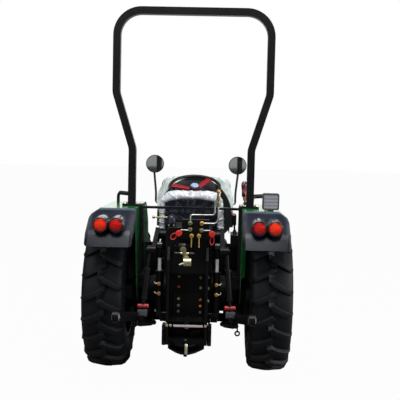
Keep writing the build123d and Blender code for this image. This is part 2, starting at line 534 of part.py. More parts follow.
# ---------------------------------------------------------------- fenders
SHEET = 3
FENDER_FLAT = 577
FENDER_OUT = 640
LIP_DROP = 45
PLATFORM_TOP = CASE_TOP - 194
FENDER_REAR_Y = REAR_Y - 330
FENDER_FRONT = REAR_TYRE_R + 75
FENDER_BEND = 150
roof_corners = [(REAR_Y + FENDER_FRONT - 10, REAR_Z + 175), (REAR_Y + FENDER_FRONT - 60, FENDER_TOP - 160),
                (REAR_Y + FENDER_FRONT - 230, FENDER_TOP)]
roof_outline = [(REAR_Y + FENDER_FRONT, PLATFORM_TOP + FIT)] + roof_corners + [(FENDER_REAR_Y, FENDER_TOP)]
fender_outline = roof_outline + [(FENDER_REAR_Y, FENDER_TOP - 160), (REAR_Y - 300, FENDER_TOP - 220),
                                 (REAR_Y - 230, REAR_Z + 80), (REAR_Y - 150, REAR_Z - 50),
                                 (REAR_Y + 200, REAR_Z - 50), (REAR_Y + 330, PLATFORM_TOP + FIT)]
wall_face = make_face(Polyline(*fender_outline, close=True))
wall = extrude(softened(Plane.YZ.offset(FENDER_IN) * wall_face, roof_corners, FENDER_BEND), SHEET)
wall -= rod((FENDER_IN - 5, REAR_Y, REAR_Z), (FENDER_IN + 10, REAR_Y, REAR_Z), TRUMPET_R + 10)


def slanted(points, drop):
    """The outline moved down and inwards by drop, for the rolled outer edge."""
    return [(y - 0.6 * drop if y > REAR_Y + 400 else y, z - drop) for y, z in points]


def roof_section(x, drop):
    """The pressed sheet of the fender's top and front as a section at x, lowered by drop."""
    inside = [(y - SHEET if y > REAR_Y + 400 else y, z - SHEET) for y, z in roof_corners]
    inside = ([(roof_outline[0][0] - SHEET, roof_outline[0][1])] + inside
              + [(FENDER_REAR_Y, FENDER_TOP - SHEET)])
    face = make_face(Polyline(*slanted(roof_outline + inside[::-1], drop), close=True))
    face = softened(Plane.YZ.offset(x) * face, slanted(roof_corners, drop), FENDER_BEND)
    return softened(face, slanted(inside[1:-1], drop), FENDER_BEND - SHEET)


flat = extrude(roof_section(FENDER_IN, 0), FENDER_FLAT - FENDER_IN)
lip = loft([roof_section(FENDER_FLAT, 0), roof_section(FENDER_OUT, LIP_DROP)], ruled=True)
fender = joined([wall, flat, lip])
save("fenders", both_sides(fender))

TAIL_REAR_Y = REAR_Y - 600
TAIL_WALL = 4
LAMP_Z = FENDER_TOP - 86
LAMP_R = 39
INDICATOR_X = 537
TAILLAMP_X = 434.5
POD_R = 47
tail_start = FENDER_REAR_Y - FIT
TAIL_KNEE = FENDER_TOP - 135
TAIL_HEM = FENDER_TOP - 220
tail_side = [(tail_start, FENDER_TOP), (TAIL_REAR_Y + 45, TAIL_KNEE), (TAIL_REAR_Y, TAIL_HEM),
             (tail_start, TAIL_HEM)]
TAIL_IN = FENDER_IN - 3
TAIL_ROUND = 20
tail = side_plate(tail_side, (TAIL_IN, FENDER_OUT))
inner_edges = [edge for edge in tail.edges()
               if abs(edge.center().X - TAIL_IN) < 1 and edge.center().Y < tail_start - 20
               and edge.center().Z > TAIL_HEM + 5]
tail = fillet(inner_edges, TAIL_ROUND)
slope = extrude(Plane.XZ.offset(-tail_start - 1) * make_face(Polyline(
    (FENDER_FLAT, FENDER_TOP + 1), (FENDER_OUT + 1, FENDER_TOP + 1), (FENDER_OUT + 1, FENDER_TOP - LIP_DROP),
    close=True)), 400)
tail -= slope
inside = [(tail_start + 5, FENDER_TOP - TAIL_WALL), (tail_start - 5, FENDER_TOP - TAIL_WALL),
          (TAIL_REAR_Y + 45 + TAIL_WALL, TAIL_KNEE - TAIL_WALL), (TAIL_REAR_Y + TAIL_WALL + 2, TAIL_HEM),
          (TAIL_REAR_Y + TAIL_WALL + 2, TAIL_HEM - 10), (tail_start + 5, TAIL_HEM - 10)]
pods = []
for lamp_x in (INDICATOR_X, TAILLAMP_X + 6):
    pods.append(rod((lamp_x, TAIL_REAR_Y + 8, LAMP_Z), (lamp_x, tail_start - 90, LAMP_Z), POD_R))
    pods.append(rod((lamp_x, TAIL_REAR_Y + 30, LAMP_Z), (lamp_x, tail_start - 60, LAMP_Z), POD_R + 8))
tail = joined([tail] + pods)
hollow = side_plate(inside, (TAIL_IN + TAIL_ROUND, FENDER_OUT + 5))
tail -= hollow - slope
for lamp_x in (INDICATOR_X, TAILLAMP_X + 6):
    tail -= rod((lamp_x, TAIL_REAR_Y, LAMP_Z), (lamp_x, TAIL_REAR_Y + 32, LAMP_Z), LAMP_R + FIT)
save("fender_tails", both_sides(tail))
LAMP_DEPTH = 24


def lamp_unit(lamp_x):
    lens = rod((lamp_x, TAIL_REAR_Y, LAMP_Z), (lamp_x, TAIL_REAR_Y + 8 + LAMP_DEPTH - FIT, LAMP_Z), LAMP_R)
    return fillet(lens.edges().group_by(Axis.Y)[0], 6)


save("indicator_lamps", both_sides(lamp_unit(INDICATOR_X)))
save("tail_lamps", both_sides(lamp_unit(TAILLAMP_X + 6)))

WORK_LAMP = 108
WORK_X = 526
WORK_Y = REAR_Y - 290
WORK_BASE = FENDER_TOP + 8
work_lamp = block((WORK_X - WORK_LAMP / 2, WORK_X + WORK_LAMP / 2), (WORK_Y - 22, WORK_Y + 22),
                  (WORK_BASE, WORK_BASE + WORK_LAMP))
work_lamp = fillet(work_lamp.edges().filter_by(Axis.Y), 12)
work_foot = block((WORK_X - 20, WORK_X + 20), (WORK_Y - 15, WORK_Y + 15), (FENDER_TOP + FIT, WORK_BASE))
for index in range(7):
    fin_x = WORK_X + (index - 3) * 13
    work_lamp += block((fin_x - 2, fin_x + 2), (WORK_Y + 20, WORK_Y + 34),
                       (WORK_BASE + 14, WORK_BASE + WORK_LAMP - 14))
save("work_lamp", work_lamp + work_foot)

HANDLE_R = 11
HANDLE_TOP = FENDER_TOP + 70
handle = tube([(425, REAR_Y + 60, FENDER_TOP + FIT), (425, REAR_Y + 60, HANDLE_TOP),
               (530, REAR_Y + 180, HANDLE_TOP), (530, REAR_Y + 180, FENDER_TOP + FIT)], HANDLE_R, 30)
save("fender_handles", both_sides(handle))

# ---------------------------------------------------------------- mirrors
MIRROR_R = 75
MIRROR_X = 345
MIRROR_Y = 300
MIRROR_Z = COWL_TOP + 100
mirror_head = rod((MIRROR_X, MIRROR_Y - 14, MIRROR_Z), (MIRROR_X, MIRROR_Y + 14, MIRROR_Z), MIRROR_R)
mirror_head = fillet(mirror_head.edges().group_by(Axis.Y)[-1], 12)
mirror_head -= rod((MIRROR_X, MIRROR_Y - 15, MIRROR_Z), (MIRROR_X, MIRROR_Y - 9, MIRROR_Z), MIRROR_R - 5)
mirror_stem = tube([(COWL_HALF + FIT, MIRROR_Y, MIRROR_Z - 325), (COWL_HALF + 16, MIRROR_Y, MIRROR_Z - 325),
                    (COWL_HALF + 16, MIRROR_Y, MIRROR_Z - 235),
                    (MIRROR_X + 5, MIRROR_Y, MIRROR_Z - 65)], 6, 12)
save("mirrors", both_sides(mirror_head + mirror_stem))
mirror_glass = rod((MIRROR_X, MIRROR_Y - 12, MIRROR_Z), (MIRROR_X, MIRROR_Y - 9 - FIT, MIRROR_Z),
                   MIRROR_R - 5 - FIT)
save("mirror_glass", both_sides(mirror_glass))

# ---------------------------------------------------------------- platform and controls
PLATFORM_T = 6
PLATFORM_OUT = 480
PLATFORM_FRONT_Y = 230
PLATFORM_LIP = 46
STEP_Y = REAR_Y + REAR_TYRE_R + 35     # where the platform widens in front of the rear tyre
step_outline = [(CASE_HALF + FIT, REAR_Y + 350), (FENDER_IN - FIT, REAR_Y + 350),
                (FENDER_IN - FIT, STEP_Y), (PLATFORM_OUT, STEP_Y), (PLATFORM_OUT, PLATFORM_FRONT_Y),
                (BELL_HALF + 3, PLATFORM_FRONT_Y), (BELL_HALF + 3, CASE_FRONT_Y - 10 - FIT),
                (CASE_HALF + FIT, CASE_FRONT_Y - 10 - FIT)]
step_face = Plane.XY.offset(PLATFORM_TOP - PLATFORM_T) * make_face(Polyline(*step_outline, close=True))
step = extrude(step_face, PLATFORM_T)
step += block((PLATFORM_OUT - PLATFORM_T, PLATFORM_OUT), (STEP_Y, PLATFORM_FRONT_Y),
              (PLATFORM_TOP - PLATFORM_LIP, PLATFORM_TOP))
step += block((BELL_HALF + 3, PLATFORM_OUT), (PLATFORM_FRONT_Y - PLATFORM_T, PLATFORM_FRONT_Y),
              (PLATFORM_TOP - PLATFORM_LIP, PLATFORM_TOP))
RISER_TOP = CASE_TOP + 119
riser = [(CASE_HALF + FIT, PLATFORM_TOP - PLATFORM_T), (FENDER_IN - FIT, PLATFORM_TOP - PLATFORM_T),
         (FENDER_IN - FIT, RISER_TOP), (SEAT_HALF + 12, RISER_TOP), (SEAT_HALF - 22, CASE_TOP - 2),
         (CASE_HALF + FIT, CASE_TOP - 2)]
step += extrude(Plane.XZ.offset(-(REAR_Y + 356)) * make_face(Polyline(*riser, close=True)), PLATFORM_T)
STEP_DROP = 190
for strap_y in (-90, 120):
    step += block((PLATFORM_OUT - 46, PLATFORM_OUT - 10), (strap_y, strap_y + PLATFORM_T),
                  (PLATFORM_TOP - STEP_DROP, PLATFORM_TOP - PLATFORM_T))
step += block((PLATFORM_OUT - 90, PLATFORM_OUT + 20), (-90, 126),
              (PLATFORM_TOP - STEP_DROP - PLATFORM_T, PLATFORM_TOP - STEP_DROP))
save("platform", both_sides(step))

# x and height above the platform of each pedal
PEDALS = [(-235, 130), (215, 130), (275, 130), (350, 70)]
controls = []
for pedal_x, pedal_height in PEDALS:
    pad_z = PLATFORM_TOP + pedal_height
    stalk = rod((pedal_x, 150, PLATFORM_TOP + 8), (pedal_x, 110, pad_z), 9)
    stalk += block((pedal_x - 18, pedal_x + 18), (132, 168), (PLATFORM_TOP + FIT, PLATFORM_TOP + 14))
    pad = Pos(pedal_x, 108, pad_z) * Rot(-50, 0, 0) * Box(52, 80, 10)
    controls.append(stalk + pad)
CONSOLE_TOP = FENDER_TOP - 220
console = block((FENDER_IN - 60, FENDER_IN - FIT), (REAR_Y + 180, REAR_Y + 420),
                (CONSOLE_TOP - 80, CONSOLE_TOP))
controls.append(console)
# x, y from the rear axle, base and height over it of each hand lever at the driver's right
LEVERS = [(380, 200, FENDER_TOP, 138), (315, 290, CONSOLE_TOP, 140), (315, 370, CONSOLE_TOP, 140)]
for lever_x, lever_y, lever_base, lever_height in LEVERS:
    lever_top = lever_base + lever_height
    boot = Pos(lever_x, REAR_Y + lever_y, lever_base + FIT + 10) * Cone(18, 10, 20)
    knob_x = lever_x - 8
    stalk = boot + rod((lever_x, REAR_Y + lever_y, lever_base + 10),
                       (knob_x, REAR_Y + lever_y, lever_top - 40), 6)
    knob = rod((knob_x, REAR_Y + lever_y, lever_top - 80), (knob_x, REAR_Y + lever_y, lever_top), 17)
    controls.append(stalk + fillet(knob.edges(), 8))
save("controls", controls)

# ---------------------------------------------------------------- three-point hitch
ARM_IN = 205
ARM_OUT = 233
ARM_PIN_Y = REAR_Y - 420     # lift arm to lift rod
ARM_PIN_Z = ROCKSHAFT_Z - 65
LINK_PIN_Y = REAR_Y - 20     # front pivot of the lower links
LINK_PIN_Z = REAR_Z - 175
LINK_PIN_X = 215
BALL_X = 395
BALL_R = 35
BALL_Y = REAR_Y - REAR_OVERHANG + BALL_R
BALL_Z = LINK_PIN_Z + 180
BALL_BORE = 11.2
BALL_HALF = 17.5
LINK_SHARE = 0.55            # place of the lift rod's pin along the lower link
LINK_T = 24
LINK_H = 56
PIN_R = 12
ROD_EYE_R = 25
CYLINDER_X = 187
CYLINDER_PIN_Y = REAR_Y - 300
CYLINDER_PIN_Z = CASE_BOTTOM + 130
ARM_SHARE = 0.7              # place of the cylinder's pin along the lift arm
CYLINDER_R = 24
CYLINDER_ROD_R = 11.5
CYLINDER_BODY = 285
CYLINDER_ROD_IN = 165

lift_pin_y = LINK_PIN_Y + LINK_SHARE * (BALL_Y - LINK_PIN_Y)
lift_pin_z = LINK_PIN_Z + LINK_SHARE * (BALL_Z - LINK_PIN_Z)
lift_pin_x = LINK_PIN_X + LINK_SHARE * (BALL_X - LINK_PIN_X)
cyl_top_y = ROCKSHAFT_Y + ARM_SHARE * (ARM_PIN_Y - ROCKSHAFT_Y)
cyl_top_z = ROCKSHAFT_Z + ARM_SHARE * (ARM_PIN_Z - ROCKSHAFT_Z)

rockshaft = rod((-ARM_OUT, ROCKSHAFT_Y, ROCKSHAFT_Z), (ARM_OUT, ROCKSHAFT_Y, ROCKSHAFT_Z), ROCKSHAFT_R)
lift_arm = rod((ARM_IN, ROCKSHAFT_Y, ROCKSHAFT_Z), (ARM_OUT, ROCKSHAFT_Y, ROCKSHAFT_Z), 48)
lift_arm += side_plate([(ROCKSHAFT_Y, ROCKSHAFT_Z + 44), (ARM_PIN_Y, ARM_PIN_Z + 26),
                        (ARM_PIN_Y, ARM_PIN_Z - 26), (ROCKSHAFT_Y, ROCKSHAFT_Z - 46)], (ARM_IN, ARM_OUT))
lift_arm += rod((ARM_IN, ARM_PIN_Y, ARM_PIN_Z), (ARM_OUT, ARM_PIN_Y, ARM_PIN_Z), 26)
ARM_HOLE_R = 14
arm_hole = (cyl_top_y + 90, cyl_top_z + 20)
lift_arm -= rod((ARM_IN - 1, *arm_hole), (ARM_OUT + 1, *arm_hole), ARM_HOLE_R)
ROD_EYE_IN = ARM_OUT + RUN
ROD_EYE_OUT = ROD_EYE_IN + 26
lift_arm += rod((ARM_OUT, ARM_PIN_Y, ARM_PIN_Z), (ROD_EYE_OUT + 6, ARM_PIN_Y, ARM_PIN_Z), PIN_R)
CYL_EYE_OUT = CYLINDER_X + 15
lift_arm += rod((CYL_EYE_OUT + OPEN_PIN, cyl_top_y, cyl_top_z), (ARM_IN, cyl_top_y, cyl_top_z), PIN_R)
save("rockshaft", joined([rockshaft] + both_sides(lift_arm)))

LINK_EYE_IN = lift_pin_x - LINK_T / 2 - 10 - 24
LINK_EYE_OUT = LINK_EYE_IN + 24
top_point = ((ROD_EYE_IN + ROD_EYE_OUT) / 2, ARM_PIN_Y, ARM_PIN_Z)
low_point = ((LINK_EYE_IN + LINK_EYE_OUT) / 2, lift_pin_y, lift_pin_z)
lift_rod = rod(top_point, low_point, 12)
middle = tuple((a + b) / 2 for a, b in zip(top_point, low_point))
along = Vector(*low_point) - Vector(*top_point)
lift_rod += rod(tuple(Vector(*middle) - along * 0.22), tuple(Vector(*middle) + along * 0.22), 19)
lift_rod += rod((ROD_EYE_IN, ARM_PIN_Y, ARM_PIN_Z), (ROD_EYE_OUT, ARM_PIN_Y, ARM_PIN_Z), ROD_EYE_R)
lift_rod += rod((LINK_EYE_IN, lift_pin_y, lift_pin_z), (LINK_EYE_OUT, lift_pin_y, lift_pin_z), ROD_EYE_R)
lift_rod -= rod((ROD_EYE_IN - 5, ARM_PIN_Y, ARM_PIN_Z), (ROD_EYE_OUT + 5, ARM_PIN_Y, ARM_PIN_Z), PIN_R + RUN)
save("lift_rod_right", lift_rod)
save("lift_rod_left", right_to_left(lift_rod))

link_dir = Vector(BALL_X - LINK_PIN_X, BALL_Y - LINK_PIN_Y, BALL_Z - LINK_PIN_Z)
link_mid = Vector(LINK_PIN_X, LINK_PIN_Y, LINK_PIN_Z) + link_dir * 0.5
link_plane = Plane(origin=link_mid, z_dir=link_dir, x_dir=link_dir.cross(Vector(0, 0, 1)))
lower_link = link_plane * Box(LINK_T, LINK_H, link_dir.length - 60)
lower_link += rod((LINK_PIN_X - 16, LINK_PIN_Y, LINK_PIN_Z), (LINK_PIN_X + 16, LINK_PIN_Y, LINK_PIN_Z), 30)
lower_link += rod((BALL_X - BALL_HALF, BALL_Y, BALL_Z), (BALL_X + BALL_HALF, BALL_Y, BALL_Z), BALL_R)
lower_link += rod((LINK_EYE_OUT + OPEN_PIN, lift_pin_y, lift_pin_z),
                  (lift_pin_x, lift_pin_y, lift_pin_z), PIN_R)
lower_link -= rod((LINK_PIN_X - 40, LINK_PIN_Y, LINK_PIN_Z),
                  (LINK_PIN_X + 30, LINK_PIN_Y, LINK_PIN_Z), PIN_R + RUN)
lower_link -= rod((BALL_X - 60, BALL_Y, BALL_Z), (BALL_X + 60, BALL_Y, BALL_Z), BALL_BORE)
save("lower_link_right", lower_link)
save("lower_link_left", right_to_left(lower_link))

cyl_base = Vector(CYLINDER_X, CYLINDER_PIN_Y, CYLINDER_PIN_Z)
cyl_top = Vector(CYLINDER_X, cyl_top_y, cyl_top_z)
cyl_dir = (cyl_top - cyl_base).normalized()
lift_barrel = rod(tuple(cyl_base), tuple(cyl_base + cyl_dir * CYLINDER_BODY), CYLINDER_R)
lift_barrel += rod((CYLINDER_X - 15, CYLINDER_PIN_Y, CYLINDER_PIN_Z), (CYLINDER_X + 15, CYLINDER_PIN_Y,
                                                                      CYLINDER_PIN_Z), 26)
lift_barrel -= rod(tuple(cyl_base + cyl_dir * 32), tuple(cyl_base + cyl_dir * (CYLINDER_BODY + 5)),
                   CYLINDER_ROD_R + RUN)
lift_barrel -= rod((CYLINDER_X - 30, CYLINDER_PIN_Y, CYLINDER_PIN_Z), (CYLINDER_X + 30, CYLINDER_PIN_Y,
                                                                      CYLINDER_PIN_Z), PIN_R + RUN)
save("lift_cylinder_right", lift_barrel)
save("lift_cylinder_left", right_to_left(lift_barrel))
rod_foot = cyl_base + cyl_dir * (CYLINDER_BODY - CYLINDER_ROD_IN)
piston_rod = rod(tuple(rod_foot), tuple(cyl_top), CYLINDER_ROD_R)
piston_rod += rod((CYLINDER_X - 15, cyl_top_y, cyl_top_z), (CYL_EYE_OUT, cyl_top_y, cyl_top_z), 22)
save("lift_cylinder_rod_right", piston_rod)
save("lift_cylinder_rod_left", right_to_left(piston_rod))

# ---------------------------------------------------------------- hitch frame, top link, drawbar and PTO
FRAME_IN = 117
FRAME_OUT = 133
FRAME_REAR_Y = REAR_Y - 410
FRAME_BOTTOM = CASE_BOTTOM - 50
FRAME_TOP = HOUSING_TOP - 120
TOP_LINK_X = -40
TOP_LINK_Y = REAR_Y - 370
TOP_LINK_Z = HOUSING_TOP - 115
GUARD_Z = PTO_Z + 44
plate_outline = [(FRAME_REAR_Y, FRAME_BOTTOM), (CASE_REAR_Y - FIT, FRAME_BOTTOM),
                 (CASE_REAR_Y - FIT, CASE_TOP - 4),
                 (HOUSING_REAR_Y - FIT, CASE_TOP - 4), (HOUSING_REAR_Y - FIT, FRAME_TOP),
                 (HOUSING_REAR_Y - 40, FRAME_TOP), (FRAME_REAR_Y, FRAME_TOP - 80)]
frame_parts = both_sides(side_plate(plate_outline, (FRAME_IN, FRAME_OUT)))
BRACKET_Y = (HOUSING_REAR_Y - 14, HOUSING_REAR_Y - FIT)
frame_parts.append(block((-FRAME_IN, FRAME_IN), BRACKET_Y, (CASE_TOP + 5, CASE_TOP + 100)))
frame_parts.append(block((-FRAME_IN, FRAME_IN), (FRAME_REAR_Y, CASE_REAR_Y - 60), (GUARD_Z, GUARD_Z + 8)))
for sign in (1, -1):
    pin = rod((FRAME_OUT - 5, CYLINDER_PIN_Y, CYLINDER_PIN_Z),
              (CYLINDER_X + 20, CYLINDER_PIN_Y, CYLINDER_PIN_Z), PIN_R)
    frame_parts.append(pin if sign > 0 else right_to_left(pin))
bracket = block((TOP_LINK_X - 60, TOP_LINK_X + 60), BRACKET_Y, (CASE_TOP + 95, HOUSING_TOP - 80))
for ear_x in (TOP_LINK_X - 39, TOP_LINK_X + 27):
    bracket += side_plate([(HOUSING_REAR_Y - FIT, TOP_LINK_Z - 40), (HOUSING_REAR_Y - FIT, TOP_LINK_Z + 35),
                           (TOP_LINK_Y - 22, TOP_LINK_Z + 22), (TOP_LINK_Y - 22, TOP_LINK_Z - 22)],
                          (ear_x, ear_x + 12))
bracket += rod((TOP_LINK_X - 45, TOP_LINK_Y, TOP_LINK_Z), (TOP_LINK_X + 45, TOP_LINK_Y, TOP_LINK_Z), 9)
frame_parts.append(bracket)
save("hitch_frame", joined(frame_parts))

lower_ears = []
for sign in (1, -1):
    ear = block((CASE_HALF + FIT, LINK_PIN_X - 16 - RUN), (LINK_PIN_Y - 32, LINK_PIN_Y + 32),
                (LINK_PIN_Z - 32, LINK_PIN_Z + 22))
    ear += rod((CASE_HALF + 10, LINK_PIN_Y, LINK_PIN_Z), (LINK_PIN_X + 24, LINK_PIN_Y, LINK_PIN_Z), PIN_R)
    lower_ears.append(ear if sign > 0 else right_to_left(ear))
save("link_brackets", lower_ears)

TOP_LINK_DROP = 40
TOP_LINK_LENGTH = 400
link_end = (TOP_LINK_X + 50, TOP_LINK_Y - TOP_LINK_LENGTH, TOP_LINK_Z - TOP_LINK_DROP)
link_start = Vector(TOP_LINK_X, TOP_LINK_Y, TOP_LINK_Z)
link_run = Vector(*link_end) - link_start
top_link = rod(tuple(link_start), link_end, 10)
top_link += rod(tuple(link_start + link_run * 0.2), tuple(link_start + link_run * 0.78), 14)
top_link += rod((TOP_LINK_X - 22, TOP_LINK_Y, TOP_LINK_Z), (TOP_LINK_X + 22, TOP_LINK_Y, TOP_LINK_Z), 26)
end_x, end_y, end_z = link_end
top_link += rod((end_x - 22, end_y, end_z), (end_x + 22, end_y, end_z), 24)
for share in (0.2, 0.75):
    nut = link_start + link_run * share, link_start + link_run * (share + 0.035)
    top_link += hexagon(tuple(nut[0]), tuple(nut[1]), 20)
handle_mid = link_start + link_run * 0.46
handle_reach = Vector(60, 0, 0)
top_link += rod(tuple(handle_mid - handle_reach), tuple(handle_mid + handle_reach), 6)
top_link -= rod((TOP_LINK_X - 30, TOP_LINK_Y, TOP_LINK_Z), (TOP_LINK_X + 30, TOP_LINK_Y, TOP_LINK_Z), 9 + RUN)
top_link -= rod((end_x - 30, end_y, end_z), (end_x + 30, end_y, end_z), 9.65)
save("top_link", top_link)

pto = rod((0, CASE_REAR_Y - 110, PTO_Z), (0, CASE_REAR_Y + 50, PTO_Z), PTO_R)
SPLINES = 6
for index in range(SPLINES):
    groove = Pos(0, 0, PTO_R) * Box(9, 70, 5)
    pto -= Pos(0, CASE_REAR_Y - 78, PTO_Z) * Rot(0, 360 / SPLINES * index, 0) * groove
save("pto_shaft", pto)

JAW_REAR_Y = REAR_Y - 560
JAW_TOP = CASE_BOTTOM - 10
JAW_BOTTOM = JAW_TOP - 60
JAW_T = 12
HITCH_PIN_Y = JAW_REAR_Y + 45
HITCH_PIN_R = 11.5
jaw_side = [(FRAME_IN - 1, CASE_REAR_Y - 70), (FRAME_IN - 6, CASE_REAR_Y - 180), (62, JAW_REAR_Y + 42),
            (24, JAW_REAR_Y)]
jaw_outline = jaw_side + [(-x, y) for x, y in reversed(jaw_side)]
jaw = []
for level in (JAW_TOP - JAW_T, JAW_BOTTOM):
    jaw.append(extrude(Plane.XY.offset(level) * make_face(Polyline(*jaw_outline, close=True)), JAW_T))
jaw.append(block((-FRAME_IN + FIT, FRAME_IN - FIT), (FRAME_REAR_Y - 10, FRAME_REAR_Y + 20),
                 (JAW_BOTTOM, JAW_TOP)))
drawbar = joined(jaw)
drawbar -= rod((0, HITCH_PIN_Y, JAW_BOTTOM - 20), (0, HITCH_PIN_Y, JAW_TOP + 20), HITCH_PIN_R + FIT)
hitch_pin = rod((0, HITCH_PIN_Y, JAW_BOTTOM - 22), (0, HITCH_PIN_Y, JAW_TOP + FIT), HITCH_PIN_R)
hitch_pin += rod((0, HITCH_PIN_Y, JAW_TOP + FIT), (0, HITCH_PIN_Y, JAW_TOP + 14), 17)
save("drawbar", [drawbar, hitch_pin])

# ---------------------------------------------------------------- rear hydraulics
VALVE_Z = (HOUSING_TOP - 65, HOUSING_TOP + 60)
VALVE_X = (-45, 130)
VALVE_REAR_Y = HOUSING_REAR_Y - 60
valve = block(VALVE_X, (VALVE_REAR_Y, HOUSING_REAR_Y - FIT), VALVE_Z)
# x, height over the lift housing's top of each fitting that faces the rear
FITTINGS = [(10, 40), (84, 40), (10, 0), (84, -4), (20, -40), (68, -40)]
for fit_x, fit_height in FITTINGS:
    fit_z = HOUSING_TOP + fit_height
    valve += hexagon((fit_x, VALVE_REAR_Y - 20, fit_z), (fit_x, VALVE_REAR_Y, fit_z), 13)
COUPLER_Z = HOUSING_TOP - 24
for start_x, end_x in ((VALVE_X[0], VALVE_X[0] - 15), (VALVE_X[1], VALVE_X[1] + 20)):
    valve += rod((start_x, VALVE_REAR_Y + 25, COUPLER_Z), (end_x, VALVE_REAR_Y + 25, COUPLER_Z), 14)
    valve += rod((end_x, VALVE_REAR_Y + 30, COUPLER_Z), (end_x, VALVE_REAR_Y - 28, COUPLER_Z), 16)
save("remote_valves", valve)
caps = []
for cap_x in (VALVE_X[0] - 15, VALVE_X[1] + 20):
    cap = rod((cap_x, VALVE_REAR_Y - 28 - FIT, COUPLER_Z), (cap_x, VALVE_REAR_Y - 60, COUPLER_Z), 19)
    caps.append(fillet(cap.edges().group_by(Axis.Y)[0], 5))
save("coupler_caps", caps)
PIPE_R = 5
PIPE_TOP = HOUSING_TOP + 92
TEE_Z = HOUSING_TOP + 150
pipe_one = tube([(10, VALVE_REAR_Y - 5, HOUSING_TOP + 53 + FIT), (10, VALVE_REAR_Y - 5, PIPE_TOP),
                 (165, VALVE_REAR_Y + 20, PIPE_TOP), (165, VALVE_REAR_Y + 20, TEE_Z)], PIPE_R, 16)
pipe_two = tube([(97 + FIT, VALVE_REAR_Y - 10, HOUSING_TOP + 40), (187, VALVE_REAR_Y - 10, HOUSING_TOP + 40),
                 (187, VALVE_REAR_Y - 10, TEE_Z + 40)], PIPE_R, 30)
tee = rod((187, VALVE_REAR_Y - 10, TEE_Z + 40), (187, VALVE_REAR_Y - 10, TEE_Z + 85), 11)
tee += block((160, 192), (VALVE_REAR_Y - 22, VALVE_REAR_Y + 28), (TEE_Z, TEE_Z + 40))
save("hydraulic_pipes", joined([pipe_one, pipe_two, tee]))
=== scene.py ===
import math

import bmesh
import bpy
from mathutils import Matrix, Vector, noise


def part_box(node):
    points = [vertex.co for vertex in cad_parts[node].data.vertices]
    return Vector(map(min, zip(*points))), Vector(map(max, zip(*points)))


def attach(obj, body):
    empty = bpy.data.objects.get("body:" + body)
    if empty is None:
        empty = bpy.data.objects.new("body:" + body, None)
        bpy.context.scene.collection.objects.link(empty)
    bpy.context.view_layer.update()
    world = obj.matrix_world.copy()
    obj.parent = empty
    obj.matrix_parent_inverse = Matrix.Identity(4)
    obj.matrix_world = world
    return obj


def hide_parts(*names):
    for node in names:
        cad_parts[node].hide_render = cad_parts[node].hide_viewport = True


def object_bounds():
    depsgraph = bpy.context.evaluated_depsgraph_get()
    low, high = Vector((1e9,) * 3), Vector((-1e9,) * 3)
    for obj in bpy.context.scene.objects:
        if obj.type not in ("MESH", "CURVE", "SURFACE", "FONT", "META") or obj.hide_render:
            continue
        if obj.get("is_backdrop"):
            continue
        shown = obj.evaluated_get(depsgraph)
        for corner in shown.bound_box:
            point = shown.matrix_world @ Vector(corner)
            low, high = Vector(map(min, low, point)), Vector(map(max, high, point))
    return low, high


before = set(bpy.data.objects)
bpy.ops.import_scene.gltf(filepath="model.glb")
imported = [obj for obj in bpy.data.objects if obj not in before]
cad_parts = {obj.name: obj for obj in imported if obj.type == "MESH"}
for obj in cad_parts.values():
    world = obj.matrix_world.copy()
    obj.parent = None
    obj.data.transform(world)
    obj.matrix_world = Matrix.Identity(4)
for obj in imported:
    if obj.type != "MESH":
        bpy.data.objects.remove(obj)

cad_low, cad_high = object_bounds()

# ---------------------------------------------------------------- studio
# A pale floor under the tractor, a white surround, five soft lamps and the camera.
# The camera stands behind the tractor at eye height, a little to its right, and looks slightly down.


class Wire:
    """The output of a node. Sums and products of wires add the maths nodes."""

    def __init__(self, nodes, socket):
        self.nodes = nodes
        self.socket = socket

    def maths(self, operation, first, second=0.0):
        return self.nodes.node("ShaderNodeMath", {"operation": operation}, {0: first, 1: second})

    def __add__(self, other):
        return self.maths("ADD", self, other)

    def __radd__(self, other):
        return self.maths("ADD", other, self)

    def __sub__(self, other):
        return self.maths("SUBTRACT", self, other)

    def __rsub__(self, other):
        return self.maths("SUBTRACT", other, self)

    def __mul__(self, other):
        return self.maths("MULTIPLY", self, other)

    def __rmul__(self, other):
        return self.maths("MULTIPLY", other, self)

    def __truediv__(self, other):
        return self.maths("DIVIDE", self, other)

    def __pow__(self, other):
        return self.maths("POWER", self, other)

    def __abs__(self):
        return self.maths("ABSOLUTE", self)

    def sine(self):
        return self.maths("SINE", self)

    def at_least(self, other):
        return self.maths("MAXIMUM", self, other)

    def above(self, limit, width=0.05):
        """Rises from 0 to 1 as the value passes a limit."""
        return self.nodes.node("ShaderNodeMapRange", {"interpolation_type": "SMOOTHSTEP"},
                               {0: self, 1: limit - width, 2: limit + width, 3: 0.0, 4: 1.0})


class Nodes:
    """A node tree, and the one method that adds nodes to it."""

    def __init__(self, tree):
        self.tree = tree

    def feed(self, socket, value):
        if isinstance(value, Wire):
            self.tree.links.new(value.socket, socket)
        elif socket.type == "RGBA":
            socket.default_value = (*value[:3], 1.0)
        else:
            socket.default_value = value

    def node(self, kind, settings=None, values=None, output=0):
        """Adds a node: its settings first, then its socket values or wires. Returns an output."""
        made = self.tree.nodes.new(kind)
        for key, value in (settings or {}).items():
            setattr(made, key, value)
        for key, value in (values or {}).items():
            self.feed(made.inputs[key], value)
        return Wire(self, made.outputs[output])


